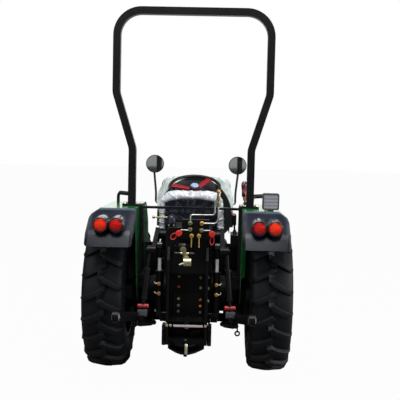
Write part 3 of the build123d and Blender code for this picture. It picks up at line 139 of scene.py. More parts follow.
class Finish(Nodes):
    """A material: one main shader, and the nodes that vary its colour, gloss and surface."""

    def __init__(self, name, **values):
        self.material = bpy.data.materials.new(name)
        self.material.use_nodes = True
        super().__init__(self.material.node_tree)
        self.shader = self.tree.nodes["Principled BSDF"]
        self.place = self.node("ShaderNodeTexCoord", output="Object")
        for key, value in values.items():
            self.set(key.replace("_", " ").title().replace("Ior", "IOR"), value)

    def set(self, socket, value):
        self.feed(self.shader.inputs[socket], value)
        return self

    def along(self, axis, vector=None):
        """How far a point of the surface, or another vector, lies along X, Y or Z."""
        return self.node("ShaderNodeSeparateXYZ", {}, {0: vector or self.place}, output=axis)

    def noise(self, scale, detail=3.0, roughness=0.5, place=None):
        return self.node("ShaderNodeTexNoise", {}, {"Vector": place or self.place, "Scale": scale,
                                                    "Detail": detail, "Roughness": roughness})

    def blend(self, amount, first, second):
        """A colour between two others."""
        return self.node("ShaderNodeMix", {"data_type": "RGBA"}, {0: amount, 6: first, 7: second}, output=2)

    def bump(self, height, depth, strength=1.0):
        """Turns a height into the shader's normal. depth is the height's size in metres."""
        normal = self.node("ShaderNodeBump", {}, {"Height": height, "Distance": depth, "Strength": strength})
        return self.set("Normal", normal)


def coat(piece, finish):
    """Gives a piece one finish all over."""
    piece.data.materials.clear()
    piece.data.materials.append(finish.material)
    return piece


FLOOR_LIFT = 0.975           # share of plain white in what the camera sees of the floor
floor_paint = Finish("studio_floor", base_color=(0.16, 0.16, 0.16), roughness=0.9)
seen = floor_paint.node("ShaderNodeLightPath", output="Is Camera Ray")
white = floor_paint.node("ShaderNodeEmission")
lifted = floor_paint.node("ShaderNodeMixShader", {}, {0: seen * FLOOR_LIFT, 2: white,
                                                      1: Wire(floor_paint, floor_paint.shader.outputs[0])})
floor_paint.feed(floor_paint.tree.nodes["Material Output"].inputs[0], lifted)
bpy.ops.object.select_all(action="DESELECT")
bpy.ops.mesh.primitive_circle_add(vertices=96, radius=60, fill_type="NGON", location=(0, 0, cad_low.z))
floor = coat(bpy.context.object, floor_paint)
floor.name = "studio_floor"
floor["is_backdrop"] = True

SKY_LIGHT = 0.10             # of the surround on the tractor; what is seen of it is plain white
SKY_GLOSS = 0.26             # of the surround in what the tractor's paint and metal mirror
bpy.context.scene.world = bpy.data.worlds.new("studio")
bpy.context.scene.world.use_nodes = True
sky = Nodes(bpy.context.scene.world.node_tree)
seen, through, mirrored = (sky.node("ShaderNodeLightPath", output=f"Is {ray} Ray")
                           for ray in ("Camera", "Transmission", "Glossy"))
on_paint = sky.node("ShaderNodeMapRange", {}, {0: mirrored, 3: SKY_LIGHT, 4: SKY_GLOSS})
surround = sky.tree.nodes["Background"]
sky.feed(surround.inputs[0], (1, 1, 1))
sky.feed(surround.inputs[1], sky.node("ShaderNodeMapRange", {}, {0: seen.at_least(through), 3: on_paint}))

axle_low, axle_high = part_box("tyre_rear_left")
REAR_AXLE = (axle_low + axle_high) / 2
LAMP_AIM = Vector((0, REAR_AXLE.y, 0.9))
# name, power in watts, size, and x, y and z of each lamp
LAMPS = [("overhead", 430, 4.0, -0.2, -2.8, 6.0), ("left_rear", 75, 1.6, -4.2, -5.4, 3.4),
         ("right_rear", 120, 1.6, 4.6, -4.6, 2.8), ("right_side", 230, 3.0, 6.5, -1.2, 1.9),
         ("front", 95, 6.0, -0.5, 9.0, 2.6)]
for name, power, size, x, y, z in LAMPS:
    bpy.ops.object.light_add(type="AREA", location=(x, y, z))
    lamp = bpy.context.object
    lamp.name = name
    lamp.data.energy = power
    lamp.data.size = size
    lamp.visible_camera = False
    lamp.rotation_euler = (LAMP_AIM - lamp.location).to_track_quat("-Z", "Y").to_euler()

EYE_BEHIND_AXLE = 5.0
EYE_RIGHT = 0.165
EYE_HEIGHT = 1.5
TURN_LEFT = math.radians(1.2)
LOOK_DOWN = math.radians(3.87)
ROLL = math.radians(1.3)
bpy.ops.object.camera_add()
camera = bpy.context.object
camera.data.sensor_width = 36
camera.data.lens = 65.25
camera.matrix_world = (Matrix.Translation((EYE_RIGHT, REAR_AXLE.y - EYE_BEHIND_AXLE, EYE_HEIGHT))
                       @ Matrix.Rotation(TURN_LEFT, 4, "Z")
                       @ Matrix.Rotation(math.radians(90) - LOOK_DOWN, 4, "X")
                       @ Matrix.Rotation(ROLL, 4, "Z"))
bpy.context.scene.camera = camera
bpy.context.scene.view_settings.view_transform = "Standard"

# ---------------------------------------------------------------- castings and running gear
# Gearbox, axle housings, engine, front frame and axle are iron castings, sprayed satin black as one.
# The sand's grain shows through the paint, and dust lies on what faces up. Welded steel frames, stands
# and links are powder coated or enamelled black, and the exhaust is heat-resistant black.


def painted_casting():
    finish = Finish("black_casting", specular_ior_level=0.14)
    sand = finish.noise(240, 4, 0.6)
    pits = finish.noise(38, 3)
    up = finish.along("Z", finish.node("ShaderNodeNewGeometry", output="Normal"))
    dust = up.above(0.75, 0.2) * finish.noise(9, 5, 0.6).above(0.5, 0.2) * 0.5
    tone = finish.blend(finish.noise(14, 3), (0.0014, 0.0015, 0.0017), (0.0040, 0.0041, 0.0044))
    finish.set("Base Color", finish.blend(dust, tone, (0.075, 0.072, 0.068)))
    finish.set("Roughness", 0.34 + pits * 0.2 + dust * 0.3)
    return finish.bump(sand * 0.35 + pits, 0.0022, 0.55)


def black_powder(name, gloss):
    finish = Finish(name, specular_ior_level=gloss)
    wave = finish.noise(11, 3)
    finish.set("Base Color", finish.blend(wave, (0.0024, 0.0026, 0.0032), (0.0046, 0.0048, 0.0058)))
    finish.set("Roughness", 0.27 + wave * 0.12)
    return finish.bump(finish.noise(420, 2), 0.0005, 0.4)


def heat_black():
    finish = Finish("heat_black", roughness=0.6)
    heat = finish.noise(24, 4, 0.6).above(0.6, 0.12)
    finish.set("Base Color", finish.blend(heat, (0.02, 0.019, 0.018), (0.07, 0.045, 0.03)))
    return finish.bump(finish.noise(300, 3), 0.0008, 0.4)


def coat_nodes(finish, *nodes):
    for node in nodes:
        coat(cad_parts[node], finish)


casting = painted_casting()
powder = black_powder("black_powder_coat", 0.30)
hitch_black = black_powder("hitch_enamel", 0.14)
coat_nodes(casting, "transmission_case", "rear_axle", "engine_block", "front_frame", "front_axle",
           "knuckle_left", "knuckle_right", "remote_valves")
coat_nodes(powder, "rops_frame", "rops_posts", "rops_crossbar", "seat_base", "platform", "controls",
           "fender_handles")
coat_nodes(hitch_black, "hitch_frame", "link_brackets", "drawbar", "rockshaft", "lift_rod_left",
           "lift_rod_right", "lower_link_left", "lower_link_right", "lift_cylinder_left",
           "lift_cylinder_right")
coat_nodes(heat_black(), "exhaust")

# ---------------------------------------------------------------- tyres
# Drive tyres with hooked lugs in two staggered rows that point forward where they meet the ground.
# Each is a moulded rubber casing, turned about the axle, with its lugs moulded on.


def rubber(name):
    finish = Finish(name, specular_ior_level=0.22)
    haze = finish.noise(7, 4, 0.6)
    finish.set("Base Color", finish.blend(haze, (0.0014, 0.0019, 0.0034), (0.0046, 0.0056, 0.0080)))
    finish.set("Roughness", 0.46 + haze * 0.2)
    return finish.bump(finish.noise(600, 2), 0.0006, 0.5)


def fresh(add, **settings):
    """A primitive, added with nothing else selected and its place put in its mesh."""
    bpy.ops.object.select_all(action="DESELECT")
    add(**settings)
    bpy.ops.object.transform_apply(location=True, rotation=True, scale=True)
    return bpy.context.object


def outline(name, points, closed=False):
    """Edges through points, drawn by pulling one corner on from each to the next. Ends in edit mode."""
    line = fresh(bpy.ops.mesh.primitive_plane_add, size=0.01, location=points[0])
    line.name = name
    bpy.ops.object.mode_set(mode="EDIT")
    bpy.ops.mesh.select_all(action="SELECT")
    bpy.ops.mesh.merge(type="CENTER")
    for start, end in zip(points, points[1:]):
        bpy.ops.mesh.extrude_region_move(TRANSFORM_OT_translate={"value": Vector(end) - Vector(start)})
    if closed:
        bpy.ops.mesh.select_all(action="SELECT")
        bpy.ops.mesh.edge_face_add()
    return line


def faced_out():
    """Turns all faces of the piece in edit mode outwards."""
    bpy.ops.mesh.select_all(action="SELECT")
    bpy.ops.mesh.normals_make_consistent(inside=False)


def turned(name, profile, centre=(0, 0, 0), axis=(0, 0, 1), steps=48, closed=True):
    """A piece turned about an axis through a centre, from (along, radius) points."""
    axis = Vector(axis).normalized()
    side = axis.orthogonal().normalized()
    points = [Vector(centre) + axis * along + side * radius for along, radius in profile]
    piece = outline(name, points + points[:1] if closed else points)
    bpy.ops.mesh.select_all(action="SELECT")
    bpy.ops.mesh.spin(steps=steps, angle=2 * math.pi, center=centre, axis=axis)
    bpy.ops.mesh.select_all(action="SELECT")
    bpy.ops.mesh.remove_doubles(threshold=0.00005)
    faced_out()
    bpy.ops.object.mode_set(mode="OBJECT")
    return piece


def chosen(*pieces):
    """Selects pieces and nothing else, the first of them active."""
    bpy.ops.object.select_all(action="DESELECT")
    for piece in pieces:
        piece.select_set(True)
    bpy.context.view_layer.objects.active = pieces[0]


def finished(piece, *modifiers, angle=40):
    """Adds modifiers, each a kind and its settings, applies them and shades the piece."""
    chosen(piece)
    for kind, settings in modifiers:
        modifier = piece.modifiers.new(kind.lower(), kind)
        for key, value in settings.items():
            setattr(modifier, key, value)
        bpy.ops.object.modifier_apply(modifier=modifier.name)
    bpy.ops.object.shade_smooth_by_angle(angle=math.radians(angle))
    return piece


def rounded(width, segments=2, limit=35):
    return ("BEVEL", {"width": width, "segments": segments, "limit_method": "ANGLE",
                      "angle_limit": math.radians(limit), "harden_normals": False})


SUBDIVIDED = ("SUBSURF", {"levels": 1, "render_levels": 1})


def joined(name, pieces):
    """Several meshes made one."""
    chosen(*pieces)
    if len(pieces) > 1:
        bpy.ops.object.join()
    pieces[0].name = name
    pieces[0].data.name = name
    return pieces[0]


# share of the half width, share of the lugs' pitch, and drop of the top and of the foot below the
# tread's radius as shares of the lugs' depth, from a lug's nose to its outer end
LUG_LINE = [(-0.07, 0.40, 0.02, 1.15), (-0.05, 0.10, 0.0, 1.15), (0.18, -0.06, 0.05, 1.15),
            (0.62, -0.25, 0.30, 1.5), (0.80, -0.33, 0.75, 2.0), (0.90, -0.38, 1.55, 3.0)]
LUG_HALF = 0.115             # half a lug's width at its top, as a share of the pitch
LUG_FLARE = 1.35             # half its width at its foot, as a share of that at its top
LUG_ROUND = 0.003


def lug_row(name, centre, radius, half_width, depth, count, side, start):
    """One row of hooked lugs on one half of the tread."""
    pitch = 2 * math.pi * radius / count
    stations = []
    for index, (across, along, top, foot) in enumerate(LUG_LINE):
        before, after = LUG_LINE[max(index - 1, 0)], LUG_LINE[min(index + 1, len(LUG_LINE) - 1)]
        run = Vector(((after[0] - before[0]) * half_width, (after[1] - before[1]) * pitch)).normalized()
        square = Vector((-run.y, run.x)) * LUG_HALF * pitch
        middle = Vector((across * half_width, along * pitch))
        corners = []
        for reach, drop in ((-1, top), (1, top), (LUG_FLARE, foot), (-LUG_FLARE, foot)):
            flat = middle + square * reach
            angle = start + flat.y / radius
            distance = radius - drop * depth
            corners.append(centre + Vector((side * flat.x, -distance * math.cos(angle),
                                            distance * math.sin(angle))))
        stations.append(corners)
    lug = outline(name, stations[0], closed=True)
    for corners in stations[1:]:
        bpy.ops.mesh.extrude_region()
        mesh = bmesh.from_edit_mesh(lug.data)
        moved = sorted((corner for corner in mesh.verts if corner.select), key=lambda corner: corner.index)
        for corner, place in zip(moved, corners):
            corner.co = place
        bmesh.update_edit_mesh(lug.data)
    faced_out()
    bpy.ops.object.mode_set(mode="OBJECT")
    bpy.ops.object.empty_add()
    turn = bpy.context.object
    turn.matrix_world = (Matrix.Translation(centre) @ Matrix.Rotation(2 * math.pi / count, 4, "X")
                         @ Matrix.Translation(-centre))
    bpy.context.view_layer.update()
    finished(lug, rounded(LUG_ROUND), ("ARRAY", {"count": count, "use_relative_offset": False,
                                                 "use_object_offset": True, "offset_object": turn}))
    bpy.data.objects.remove(turn)
    return lug


# share of the half width and share of the height from the rim to the tread, down one side wall
CASING = [(0.0, 0.875), (0.35, 0.868), (0.62, 0.85), (0.83, 0.81), (0.925, 0.74), (0.975, 0.62),
          (0.99, 0.48), (0.985, 0.475), (0.972, 0.36), (0.975, 0.345), (0.94, 0.24), (0.90, 0.20),
          (0.885, 0.21), (0.86, 0.17), (0.815, 0.14), (0.81, 0.004)]
SIDES = ((-1, "left"), (1, "right"))
tyre_rubber = rubber("tyre_rubber")
# which wheels, rim radius, lugs in a row, depth of the lugs
for end, rim_radius, lugs, depth in (("rear", 0.305, 21, 0.029), ("front", 0.203, 18, 0.022)):
    for _, name in SIDES:
        node = f"tyre_{end}_{name}"
        low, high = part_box(node)
        centre = (low + high) / 2
        radius, half_width = (high.z - low.z) / 2, (high.x - low.x) / 2
        half = [(across * half_width, rim_radius + share * (radius - rim_radius)) for across, share in CASING]
        profile = [(-along, distance) for along, distance in reversed(half[1:])] + half
        casing = turned(node + "_casing", profile, centre, (1, 0, 0), steps=72)
        finished(casing, SUBDIVIDED, angle=50)
        rows = [lug_row(node + "_lugs", centre, radius, half_width, depth, lugs, side, offset)
                for side, offset in ((1, 0.0), (-1, math.pi / lugs))]
        tyre = coat(joined(node + "_tread", [casing] + rows), tyre_rubber)
        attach(tyre, f"{end}_wheel_{name}")
        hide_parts(node)

# ---------------------------------------------------------------- wheels
# Pressed steel rims and discs in dark grey enamel, welded together. A ring of plated hexagon nuts
# holds each wheel to its hub, eight on the rear wheels and six on the front ones.


def enamel(name, dark, light, gloss=0.22, coat_weight=0.6):
    finish = Finish(name, specular_ior_level=0.5, coat_weight=coat_weight, coat_roughness=0.12)
    finish.set("Base Color", finish.blend(finish.noise(5, 3), dark, light))
    finish.set("Roughness", gloss + finish.noise(30, 3) * 0.1)
    return finish.bump(finish.noise(350, 2), 0.0004, 0.3)


def plating(name, first, second, rough=0.28):
    """Zinc or brass: bare metal whose colour drifts a little."""
    finish = Finish(name, metallic=1.0)
    finish.tone = finish.blend(finish.noise(55, 3).above(0.5, 0.2), first, second)
    finish.set("Base Color", finish.tone)
    finish.set("Roughness", rough + finish.noise(160, 3) * 0.14)
    return finish.bump(finish.noise(500, 2), 0.0003, 0.3)


def hex_head(name, finish, washer=1.35, height=0.6):
    """A hexagon head on its washer, 1 across its flats' half width, standing up from the ground plane."""
    head = finished(fresh(bpy.ops.mesh.primitive_cylinder_add, vertices=6, radius=1.12, depth=height,
                          location=(0, 0, height / 2 + 0.14)), rounded(0.06, 1))
    disc = fresh(bpy.ops.mesh.primitive_cylinder_add, vertices=20, radius=washer, depth=0.16,
                 location=(0, 0, 0.08))
    return coat(joined(name, [disc, head]), finish)


def aimed(point, direction, size=1.0):
    """Places a model at a point with its own Z along a direction."""
    turn = Vector(direction).to_track_quat("Z", "Y").to_matrix().to_4x4()
    return Matrix.Translation(point) @ turn @ Matrix.Scale(size, 4)


def copied(piece):
    """A copy with a mesh of its own."""
    made = piece.copy()
    made.data = piece.data.copy()
    bpy.context.collection.objects.link(made)
    return made


def repeated(name, model, places, body):
    """Copies of a model at several places, made one piece that rides on a body."""
    made = [copied(model) for _ in places]
    for piece, place in zip(made, places):
        piece.matrix_world = place
    chosen(*made)
    bpy.ops.object.transform_apply(location=True, rotation=True, scale=True)
    piece = joined(name, made)
    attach(piece, body)
    return piece


def ring(centre, axis, radius, count, size, start=0.0):
    """Places around a circle, all facing along its axis."""
    axis = Vector(axis).normalized()
    side = axis.orthogonal().normalized()
    return [aimed(Vector(centre) + Matrix.Rotation(start + 2 * math.pi * i / count, 3, axis) @ side * radius,
                  axis, size) for i in range(count)]


rim_enamel = enamel("rim_enamel", (0.028, 0.029, 0.032), (0.040, 0.041, 0.045), 0.3)
zinc = plating("yellow_zinc", (0.62, 0.52, 0.30), (0.74, 0.72, 0.62))
bolt = hex_head("bolt_model", zinc)
# which wheels, hub face from the wheel's middle towards it, nuts, circle of the nuts, half width of a nut
for end, face, nuts, circle, half in (("rear", 0.079, 8, 0.087, 0.0125), ("front", 0.020, 6, 0.077, 0.011)):
    for outward, name in SIDES:
        rim = f"rim_{end}_{name}"
        coat_nodes(rim_enamel, rim)
        low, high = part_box(f"tyre_{end}_{name}")
        start = (low + high) / 2 - Vector((outward * face, 0, 0))
        repeated(rim + "_nuts", bolt, ring(start, (outward, 0, 0), circle, nuts, half), f"{end}_wheel_{name}")

# ---------------------------------------------------------------- bonnet, grille and headlamps
# A one-piece bonnet of pressed steel in bright green enamel, hinged at the cowl, with a black moulded
# grille and two clear lamps in its nose. A strip seals its open end to the cowl, painted pale as a painted
# highlight.


def plastic(name, dark, light, grain=900, rough=0.42, depth=0.0005):
    finish = Finish(name, specular_ior_level=0.35)
    finish.tone = finish.blend(finish.noise(8, 3), dark, light)
    finish.set("Base Color", finish.tone)
    finish.set("Roughness", rough + finish.noise(20, 3) * 0.12)
    return finish.bump(finish.noise(grain, 2), depth, 0.6)


def extruded(*shift):
    """Gives the face of a closed outline a thickness, all its faces outwards."""
    bpy.ops.mesh.select_all(action="SELECT")
    bpy.ops.mesh.extrude_region_move(TRANSFORM_OT_translate={"value": shift})
    faced_out()


def select_parts(parts, piece, wanted):
    """Selects the corners, edges or faces of the piece in edit mode that a test wants."""
    mesh = bmesh.from_edit_mesh(piece.data)
    for part in getattr(mesh, parts):
        part.select_set(wanted(part))
    bmesh.update_edit_mesh(piece.data)


BLACK_DARK, BLACK_LIGHT = (0.0026, 0.0032, 0.0048), (0.0052, 0.0060, 0.0082)
green = enamel("green_enamel", (0.003, 0.150, 0.030), (0.006, 0.23, 0.050), 0.2, 0.8)
black_plastic = plastic("black_plastic", BLACK_DARK, BLACK_LIGHT, rough=0.34)
clear_lens = Finish("clear_lens", base_color=(0.75, 0.78, 0.8), roughness=0.08, coat_weight=1.0)
flutes = (clear_lens.along("X") * 700.0).sine()
clear_lens.bump(flutes, 0.004, 0.6)
clear_lens.set("Metallic", flutes.above(0.0, 0.8) * 0.35 + 0.35)
coat_nodes(green, "hood")
coat_nodes(black_plastic, "grille")
coat_nodes(clear_lens, "headlamps")
low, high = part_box("hood")
HOOD_TOP, HOOD_BACK = high.z, low.y
SEAL_HALF, SEAL_TALL, SEAL_THICK, SEAL_CORNER = 0.288, 0.145, 0.008, 0.066
seal_low, seal_high = HOOD_TOP - 0.005 - SEAL_TALL, HOOD_TOP - 0.005
seal_corners = [(-SEAL_HALF, seal_low), (SEAL_HALF, seal_low), (SEAL_HALF, seal_high),
                (-SEAL_HALF, seal_high)]
seal = outline("hood_seal", [Vector((x, HOOD_BACK + 0.0035, z)) for x, z in seal_corners], closed=True)
extruded(0, SEAL_THICK, 0)
bpy.ops.mesh.select_all(action="DESELECT")
select_parts("edges", seal, lambda edge: abs(edge.verts[0].co.y - edge.verts[1].co.y) > SEAL_THICK / 2
             and edge.verts[0].co.z > seal_high - 0.1)
bpy.ops.mesh.bevel(offset=SEAL_CORNER, segments=10)
bpy.ops.object.mode_set(mode="OBJECT")
# Painted highlight: the seal strip is painted pale like the cowl's shoulders.
seal_foam = plastic("seal_foam", (0.50, 0.56, 0.53), (0.78, 0.84, 0.81), 300, 0.6)
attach(coat(finished(seal, rounded(0.0015, 2)), seal_foam), "hood")

# ---------------------------------------------------------------- cowl and steering wheel
# The cowl and dash are one black moulding, its shoulders painted pale as a painted highlight. The steering
# wheel has a soft black rim on three red sleeved spokes, and a pale blue cap over its nut.


def settled(piece, place=None):
    """Moves a piece to a place, if one is given, and puts its place in its mesh."""
    if place is not None:
        piece.matrix_world = place
    chosen(piece)
    bpy.ops.object.transform_apply(location=True, rotation=True, scale=True)
    return piece


cowl = plastic("cowl_moulding", BLACK_DARK, BLACK_LIGHT, rough=0.34)
low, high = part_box("dash_console")
EDGE_CENTRE_Z, EDGE_REACH_X, EDGE_REACH_Z = high.z - 0.330, high.x * 0.965, 0.327
cowl_x = cowl.along("X") / EDGE_REACH_X
cowl_z = (cowl.along("Z") - EDGE_CENTRE_Z) / EDGE_REACH_Z
# Painted highlight: the cowl's upper outer shoulders are painted pale, standing for glare on the glossy
# moulding.
shoulders = cowl_z.above(0.15, 0.1) * ((cowl_x * cowl_x + cowl_z * cowl_z) ** 0.5).above(1.005, 0.012)
painted_glare = cowl.blend(cowl.noise(12, 4).above(0.5, 0.2), (0.40, 0.47, 0.45), (0.84, 0.90, 0.88))
cowl.set("Base Color", cowl.blend(shoulders, cowl.tone, painted_glare))
coat_nodes(cowl, "dash_console")
low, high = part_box("steering_wheel")
HUB = Vector((0, -0.020, (low.z + high.z) / 2))
COLUMN_TILT, SPOKE_TURN = math.radians(23), math.radians(52)
COLUMN = Vector((0, -math.sin(COLUMN_TILT), math.cos(COLUMN_TILT)))
WHEEL_RADIUS, RIM_HALF, DISH = 0.210, 0.013, 0.026
leather = plastic("wheel_grip", (0.004, 0.0042, 0.005), (0.0075, 0.0078, 0.009), 500, 0.38)
crimson = plastic("spoke_sleeve", (0.22, 0.004, 0.010), (0.36, 0.010, 0.018), 380, 0.30, 0.0012)
cap_finish = enamel("wheel_cap", (0.24, 0.36, 0.62), (0.34, 0.46, 0.70), 0.3)
wheel_rim = fresh(bpy.ops.mesh.primitive_torus_add, major_radius=WHEEL_RADIUS - RIM_HALF,
                  minor_radius=RIM_HALF, major_segments=96, minor_segments=14)
# along the column and radius of the hub and of its cap
HUB_SHAPE = [(-0.030, 0.0), (-0.030, 0.036), (-0.004, 0.041), (0.002, 0.036), (0.002, 0.0)]
CAP_SHAPE = [(0.002, 0.0), (0.002, 0.031), (0.008, 0.033), (0.019, 0.028), (0.023, 0.016), (0.024, 0.0)]
wheel_parts = [coat(finished(wheel_rim), leather),
               coat(finished(turned("hub", HUB_SHAPE, steps=40, closed=False), rounded(0.002)), leather)]
for index in range(3):
    sleeve = fresh(bpy.ops.mesh.primitive_cube_add, size=1, location=(0.112, 0, -0.004),
                   scale=(0.162, 0.044, 0.015))
    for corner in sleeve.data.vertices:
        share = corner.co.x / WHEEL_RADIUS
        corner.co.z -= DISH * (1 - share) ** 1.5
        corner.co.y *= 0.8 + 0.5 * share
    finished(sleeve, rounded(0.0055, 3))
    settled(sleeve, Matrix.Rotation(SPOKE_TURN + index * math.radians(120), 4, "Z"))
    wheel_parts.append(coat(sleeve, crimson))
cap = finished(turned("cap", CAP_SHAPE, steps=40, closed=False), rounded(0.0015))
wheel_parts.append(coat(cap, cap_finish))
wheel = settled(joined("steering_wheel_assembly", wheel_parts), aimed(HUB, COLUMN))
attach(wheel, "steering_wheel")
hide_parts("steering_wheel")

# ---------------------------------------------------------------- roll bar
# A hoop of square steel tube stands on two posts bolted to the axle. Its feet are plates on the
# fenders, each held by four plated bolts; all of it is black powder coat.
UPWARD = (0, 0, 1)
low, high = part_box("rops_posts")
frame_low, frame_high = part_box("rops_frame")
post_y = (frame_low.y + frame_high.y) / 2
foot_bolts = [aimed((side * (high.x - inset), post_y + along, high.z), UPWARD, 0.0105)
              for side in (1, -1) for inset in (0.016, 0.100) for along in (-0.030, 0.030)]
repeated("roll_bar_bolts", bolt, foot_bolts, "chassis")

# ---------------------------------------------------------------- fenders and lamps
# Pressed fenders in green enamel end in black moulded tails that carry two round lamps each, a red
# tail lamp and an orange indicator, with fluted lenses.
FORWARD = (0, 1, 0)
coat_nodes(green, "fenders")
low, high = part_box("fender_tails")
TAIL_REAR, TAIL_FRONT, TAIL_HEM, TAIL_TOP, TAIL_OUT = low.y, high.y, low.z, high.z, high.x
TAIL_IN, FENDER_EDGE, EDGE_DROP = 0.342, 0.577, 0.045
tail_side = [(TAIL_FRONT, TAIL_TOP), (TAIL_FRONT - 0.030, TAIL_TOP - 0.005),
             (TAIL_REAR + 0.047, TAIL_HEM + 0.087), (TAIL_REAR, TAIL_HEM), (TAIL_FRONT, TAIL_HEM + 0.150)]
shell = outline("fender_tail", [Vector((TAIL_IN, y, z)) for y, z in tail_side], closed=True)
extruded(TAIL_OUT - TAIL_IN, 0, 0)
bpy.ops.mesh.bisect(plane_co=(FENDER_EDGE, 0, TAIL_TOP), plane_no=(EDGE_DROP, 0, TAIL_OUT - FENDER_EDGE),
                    clear_outer=True, use_fill=True)
faced_out()
select_parts("faces", shell, lambda face: face.normal.z < -0.7 or face.normal.y > 0.9)
bpy.ops.mesh.delete(type="FACE")
bpy.ops.object.mode_set(mode="OBJECT")
finished(shell, rounded(0.026, 5, 18), ("SOLIDIFY", {"thickness": 0.004, "offset": -1.0}))
low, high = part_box("tail_lamps")
LAMP_R = (high.z - low.z) / 2
LAMP_Z = (high.z + low.z) / 2
TAILLAMP_X = high.x - LAMP_R
INDICATOR_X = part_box("indicator_lamps")[1].x - LAMP_R
POD_REAR = TAIL_REAR + 0.008
# from the rear: along the pod, radius
POD = [(0.026, 0.0), (0.026, LAMP_R + 0.0006), (0.001, LAMP_R + 0.0006), (0.0, 0.0410), (0.0, 0.0455),
       (0.003, 0.0475), (0.018, 0.0480), (0.020, 0.0460), (0.025, 0.0460), (0.027, 0.0485), (0.045, 0.0500),
       (0.100, 0.0540), (0.165, 0.0550), (0.165, 0.0)]
tail_plastic = Finish("tail_plastic", specular_ior_level=0.22)
tail_x, tail_z = abs(tail_plastic.along("X")), tail_plastic.along("Z")
# Painted sheen: pale grey streaks on the tails near their inner and outer edges, above the hem.
near_edge = 1.0 - tail_x.above(TAIL_IN + 0.020, 0.022) + tail_x.above(TAIL_OUT - 0.022, 0.018)
sheen_streaks = near_edge * tail_plastic.noise(9, 3, 0.7).above(0.42, 0.25) * tail_z.above(TAIL_HEM + 0.060, 0.03)
# Painted highlight: a pale teal band along the tail's top shelf.
shelf = tail_z.above(TAIL_TOP - 0.010, 0.004) * 0.55
# Painted shade: the tail is darker within a tenth of a metre of its hem.
navy = tail_plastic.blend(tail_z.above(TAIL_HEM + 0.100, 0.02), (0.0022, 0.0032, 0.0085),
                          (0.0058, 0.0082, 0.0175))
painted_sheen = tail_plastic.blend(sheen_streaks * 0.5, navy, (0.12, 0.115, 0.13))
tail_plastic.set("Base Color", tail_plastic.blend(shelf, painted_sheen, (0.10, 0.15, 0.17)))
tail_plastic.set("Roughness", 0.26 + tail_plastic.noise(20, 3) * 0.10)
tail_plastic.bump(tail_plastic.noise(900, 2), 0.0003, 0.6)
pod_gloss = Finish("pod_gloss", specular_ior_level=0.7, coat_weight=0.8, coat_roughness=0.12)
behind = pod_gloss.along("Y")
# Painted reflection: two paler grey bands run round each pod's barrel, standing for the crescents its gloss
# mirrors.
reflection_bands = (behind.above(POD_REAR + 0.008, 0.004) - behind.above(POD_REAR + 0.022, 0.004)
         + behind.above(POD_REAR + 0.034, 0.004))
pod_gloss.set("Base Color", pod_gloss.blend(reflection_bands, (0.0035, 0.0045, 0.0085), (0.040, 0.043, 0.050)))
pod_gloss.set("Roughness", 0.2 + pod_gloss.noise(30, 2) * 0.1)
tail_parts = [coat(shell, tail_plastic)]
for x in (TAILLAMP_X, INDICATOR_X):
    pod = turned("pod", POD, (x, POD_REAR, LAMP_Z), FORWARD, steps=56, closed=False)
    tail_parts.append(coat(finished(pod, rounded(0.0008, 2, 30)), pod_gloss))
tail_right = joined("fender_tail_right", tail_parts)
tail_left = copied(tail_right)
tail_left.name = "fender_tail_left"
tail_left.scale.x = -1
settled(tail_left)
bpy.ops.object.mode_set(mode="EDIT")
bpy.ops.mesh.select_all(action="SELECT")
bpy.ops.mesh.flip_normals()
bpy.ops.object.mode_set(mode="OBJECT")
for piece in (tail_right, tail_left):
    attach(piece, "chassis")
    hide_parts("fender_tails")


def lens(name, dark, bright, centre_x):
    """A moulded lens: rings of prisms seen through a glossy skin, mirrored on both sides, its upper half
    painted brighter as a painted highlight and given a faint painted glow.
    """
    finish = Finish(name, coat_weight=0.25, coat_roughness=0.04, roughness=0.34, specular_ior_level=0.15)
    height = finish.along("Z") - LAMP_Z
    along = abs(finish.along("X")) - centre_x
    reach = (along * along + height * height) ** 0.5
    # Painted highlight and glow: the lens is brighter above its middle, and shines faintly in its own
    # colours.
    painted_glow = finish.blend(height.above(-0.006, 0.022), dark, bright)
    finish.set("Base Color", finish.blend(reach.above(0.031, 0.003), painted_glow, dark))
    finish.set("Emission Color", painted_glow)
    finish.set("Emission Strength", 0.22)
    return finish.bump((reach * 1100.0).sine(), 0.002, 0.5)


coat_nodes(lens("red_lens", (0.12, 0.0006, 0.0008), (0.50, 0.0022, 0.0016), TAILLAMP_X), "tail_lamps")
coat_nodes(lens("orange_lens", (0.30, 0.006, 0.0006), (0.80, 0.028, 0.0012), INDICATOR_X), "indicator_lamps")

# ---------------------------------------------------------------- work lamp
# A square work lamp beside the roll bar: a black moulded housing with a flat glass in its rear face
# and rows of small reflectors behind the glass.
low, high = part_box("work_lamp")
GLASS_HALF, GLASS_DROP = 0.044, 0.054
work = Finish("work_lamp", specular_ior_level=0.5)
work_x, work_y, work_z = (work.along(axis) for axis in "XYZ")
work_x, work_z = work_x - (low.x + high.x) / 2, work_z - (high.z - GLASS_DROP)
inside_x, inside_z = (1.0 - abs(part).above(GLASS_HALF, 0.001) for part in (work_x, work_z))
glass = inside_x * inside_z * (1.0 - work_y.above(low.y + 0.009, 0.0005))
cells = (work_z * 285.0).sine() * ((work_x * 214.0).sine() * 0.25 + 0.75)
face = work.blend(cells.above(0.2, 1.0), (0.185, 0.19, 0.205), (0.27, 0.28, 0.30))
work.set("Base Color", work.blend(glass, (0.045, 0.046, 0.050), face))
work.set("Roughness", 0.42 - glass * 0.16)
work.bump(cells * glass, 0.001, 0.4)
coat_nodes(work, "work_lamp")

# ---------------------------------------------------------------- mirrors
# Two round mirrors of silvered glass, pressed into black moulded shells. Bent tube stems hold them
# on both sides of the cowl.
mirror = Finish("mirror_glass", metallic=1.0)
mirror.set("Base Color", mirror.blend(mirror.noise(16, 3, 0.6), (0.78, 0.84, 0.84), (0.92, 0.95, 0.95)))
mirror.set("Roughness", 0.02 + mirror.noise(6, 2) * 0.02)
coat_nodes(black_plastic, "mirrors")
coat_nodes(mirror, "mirror_glass")

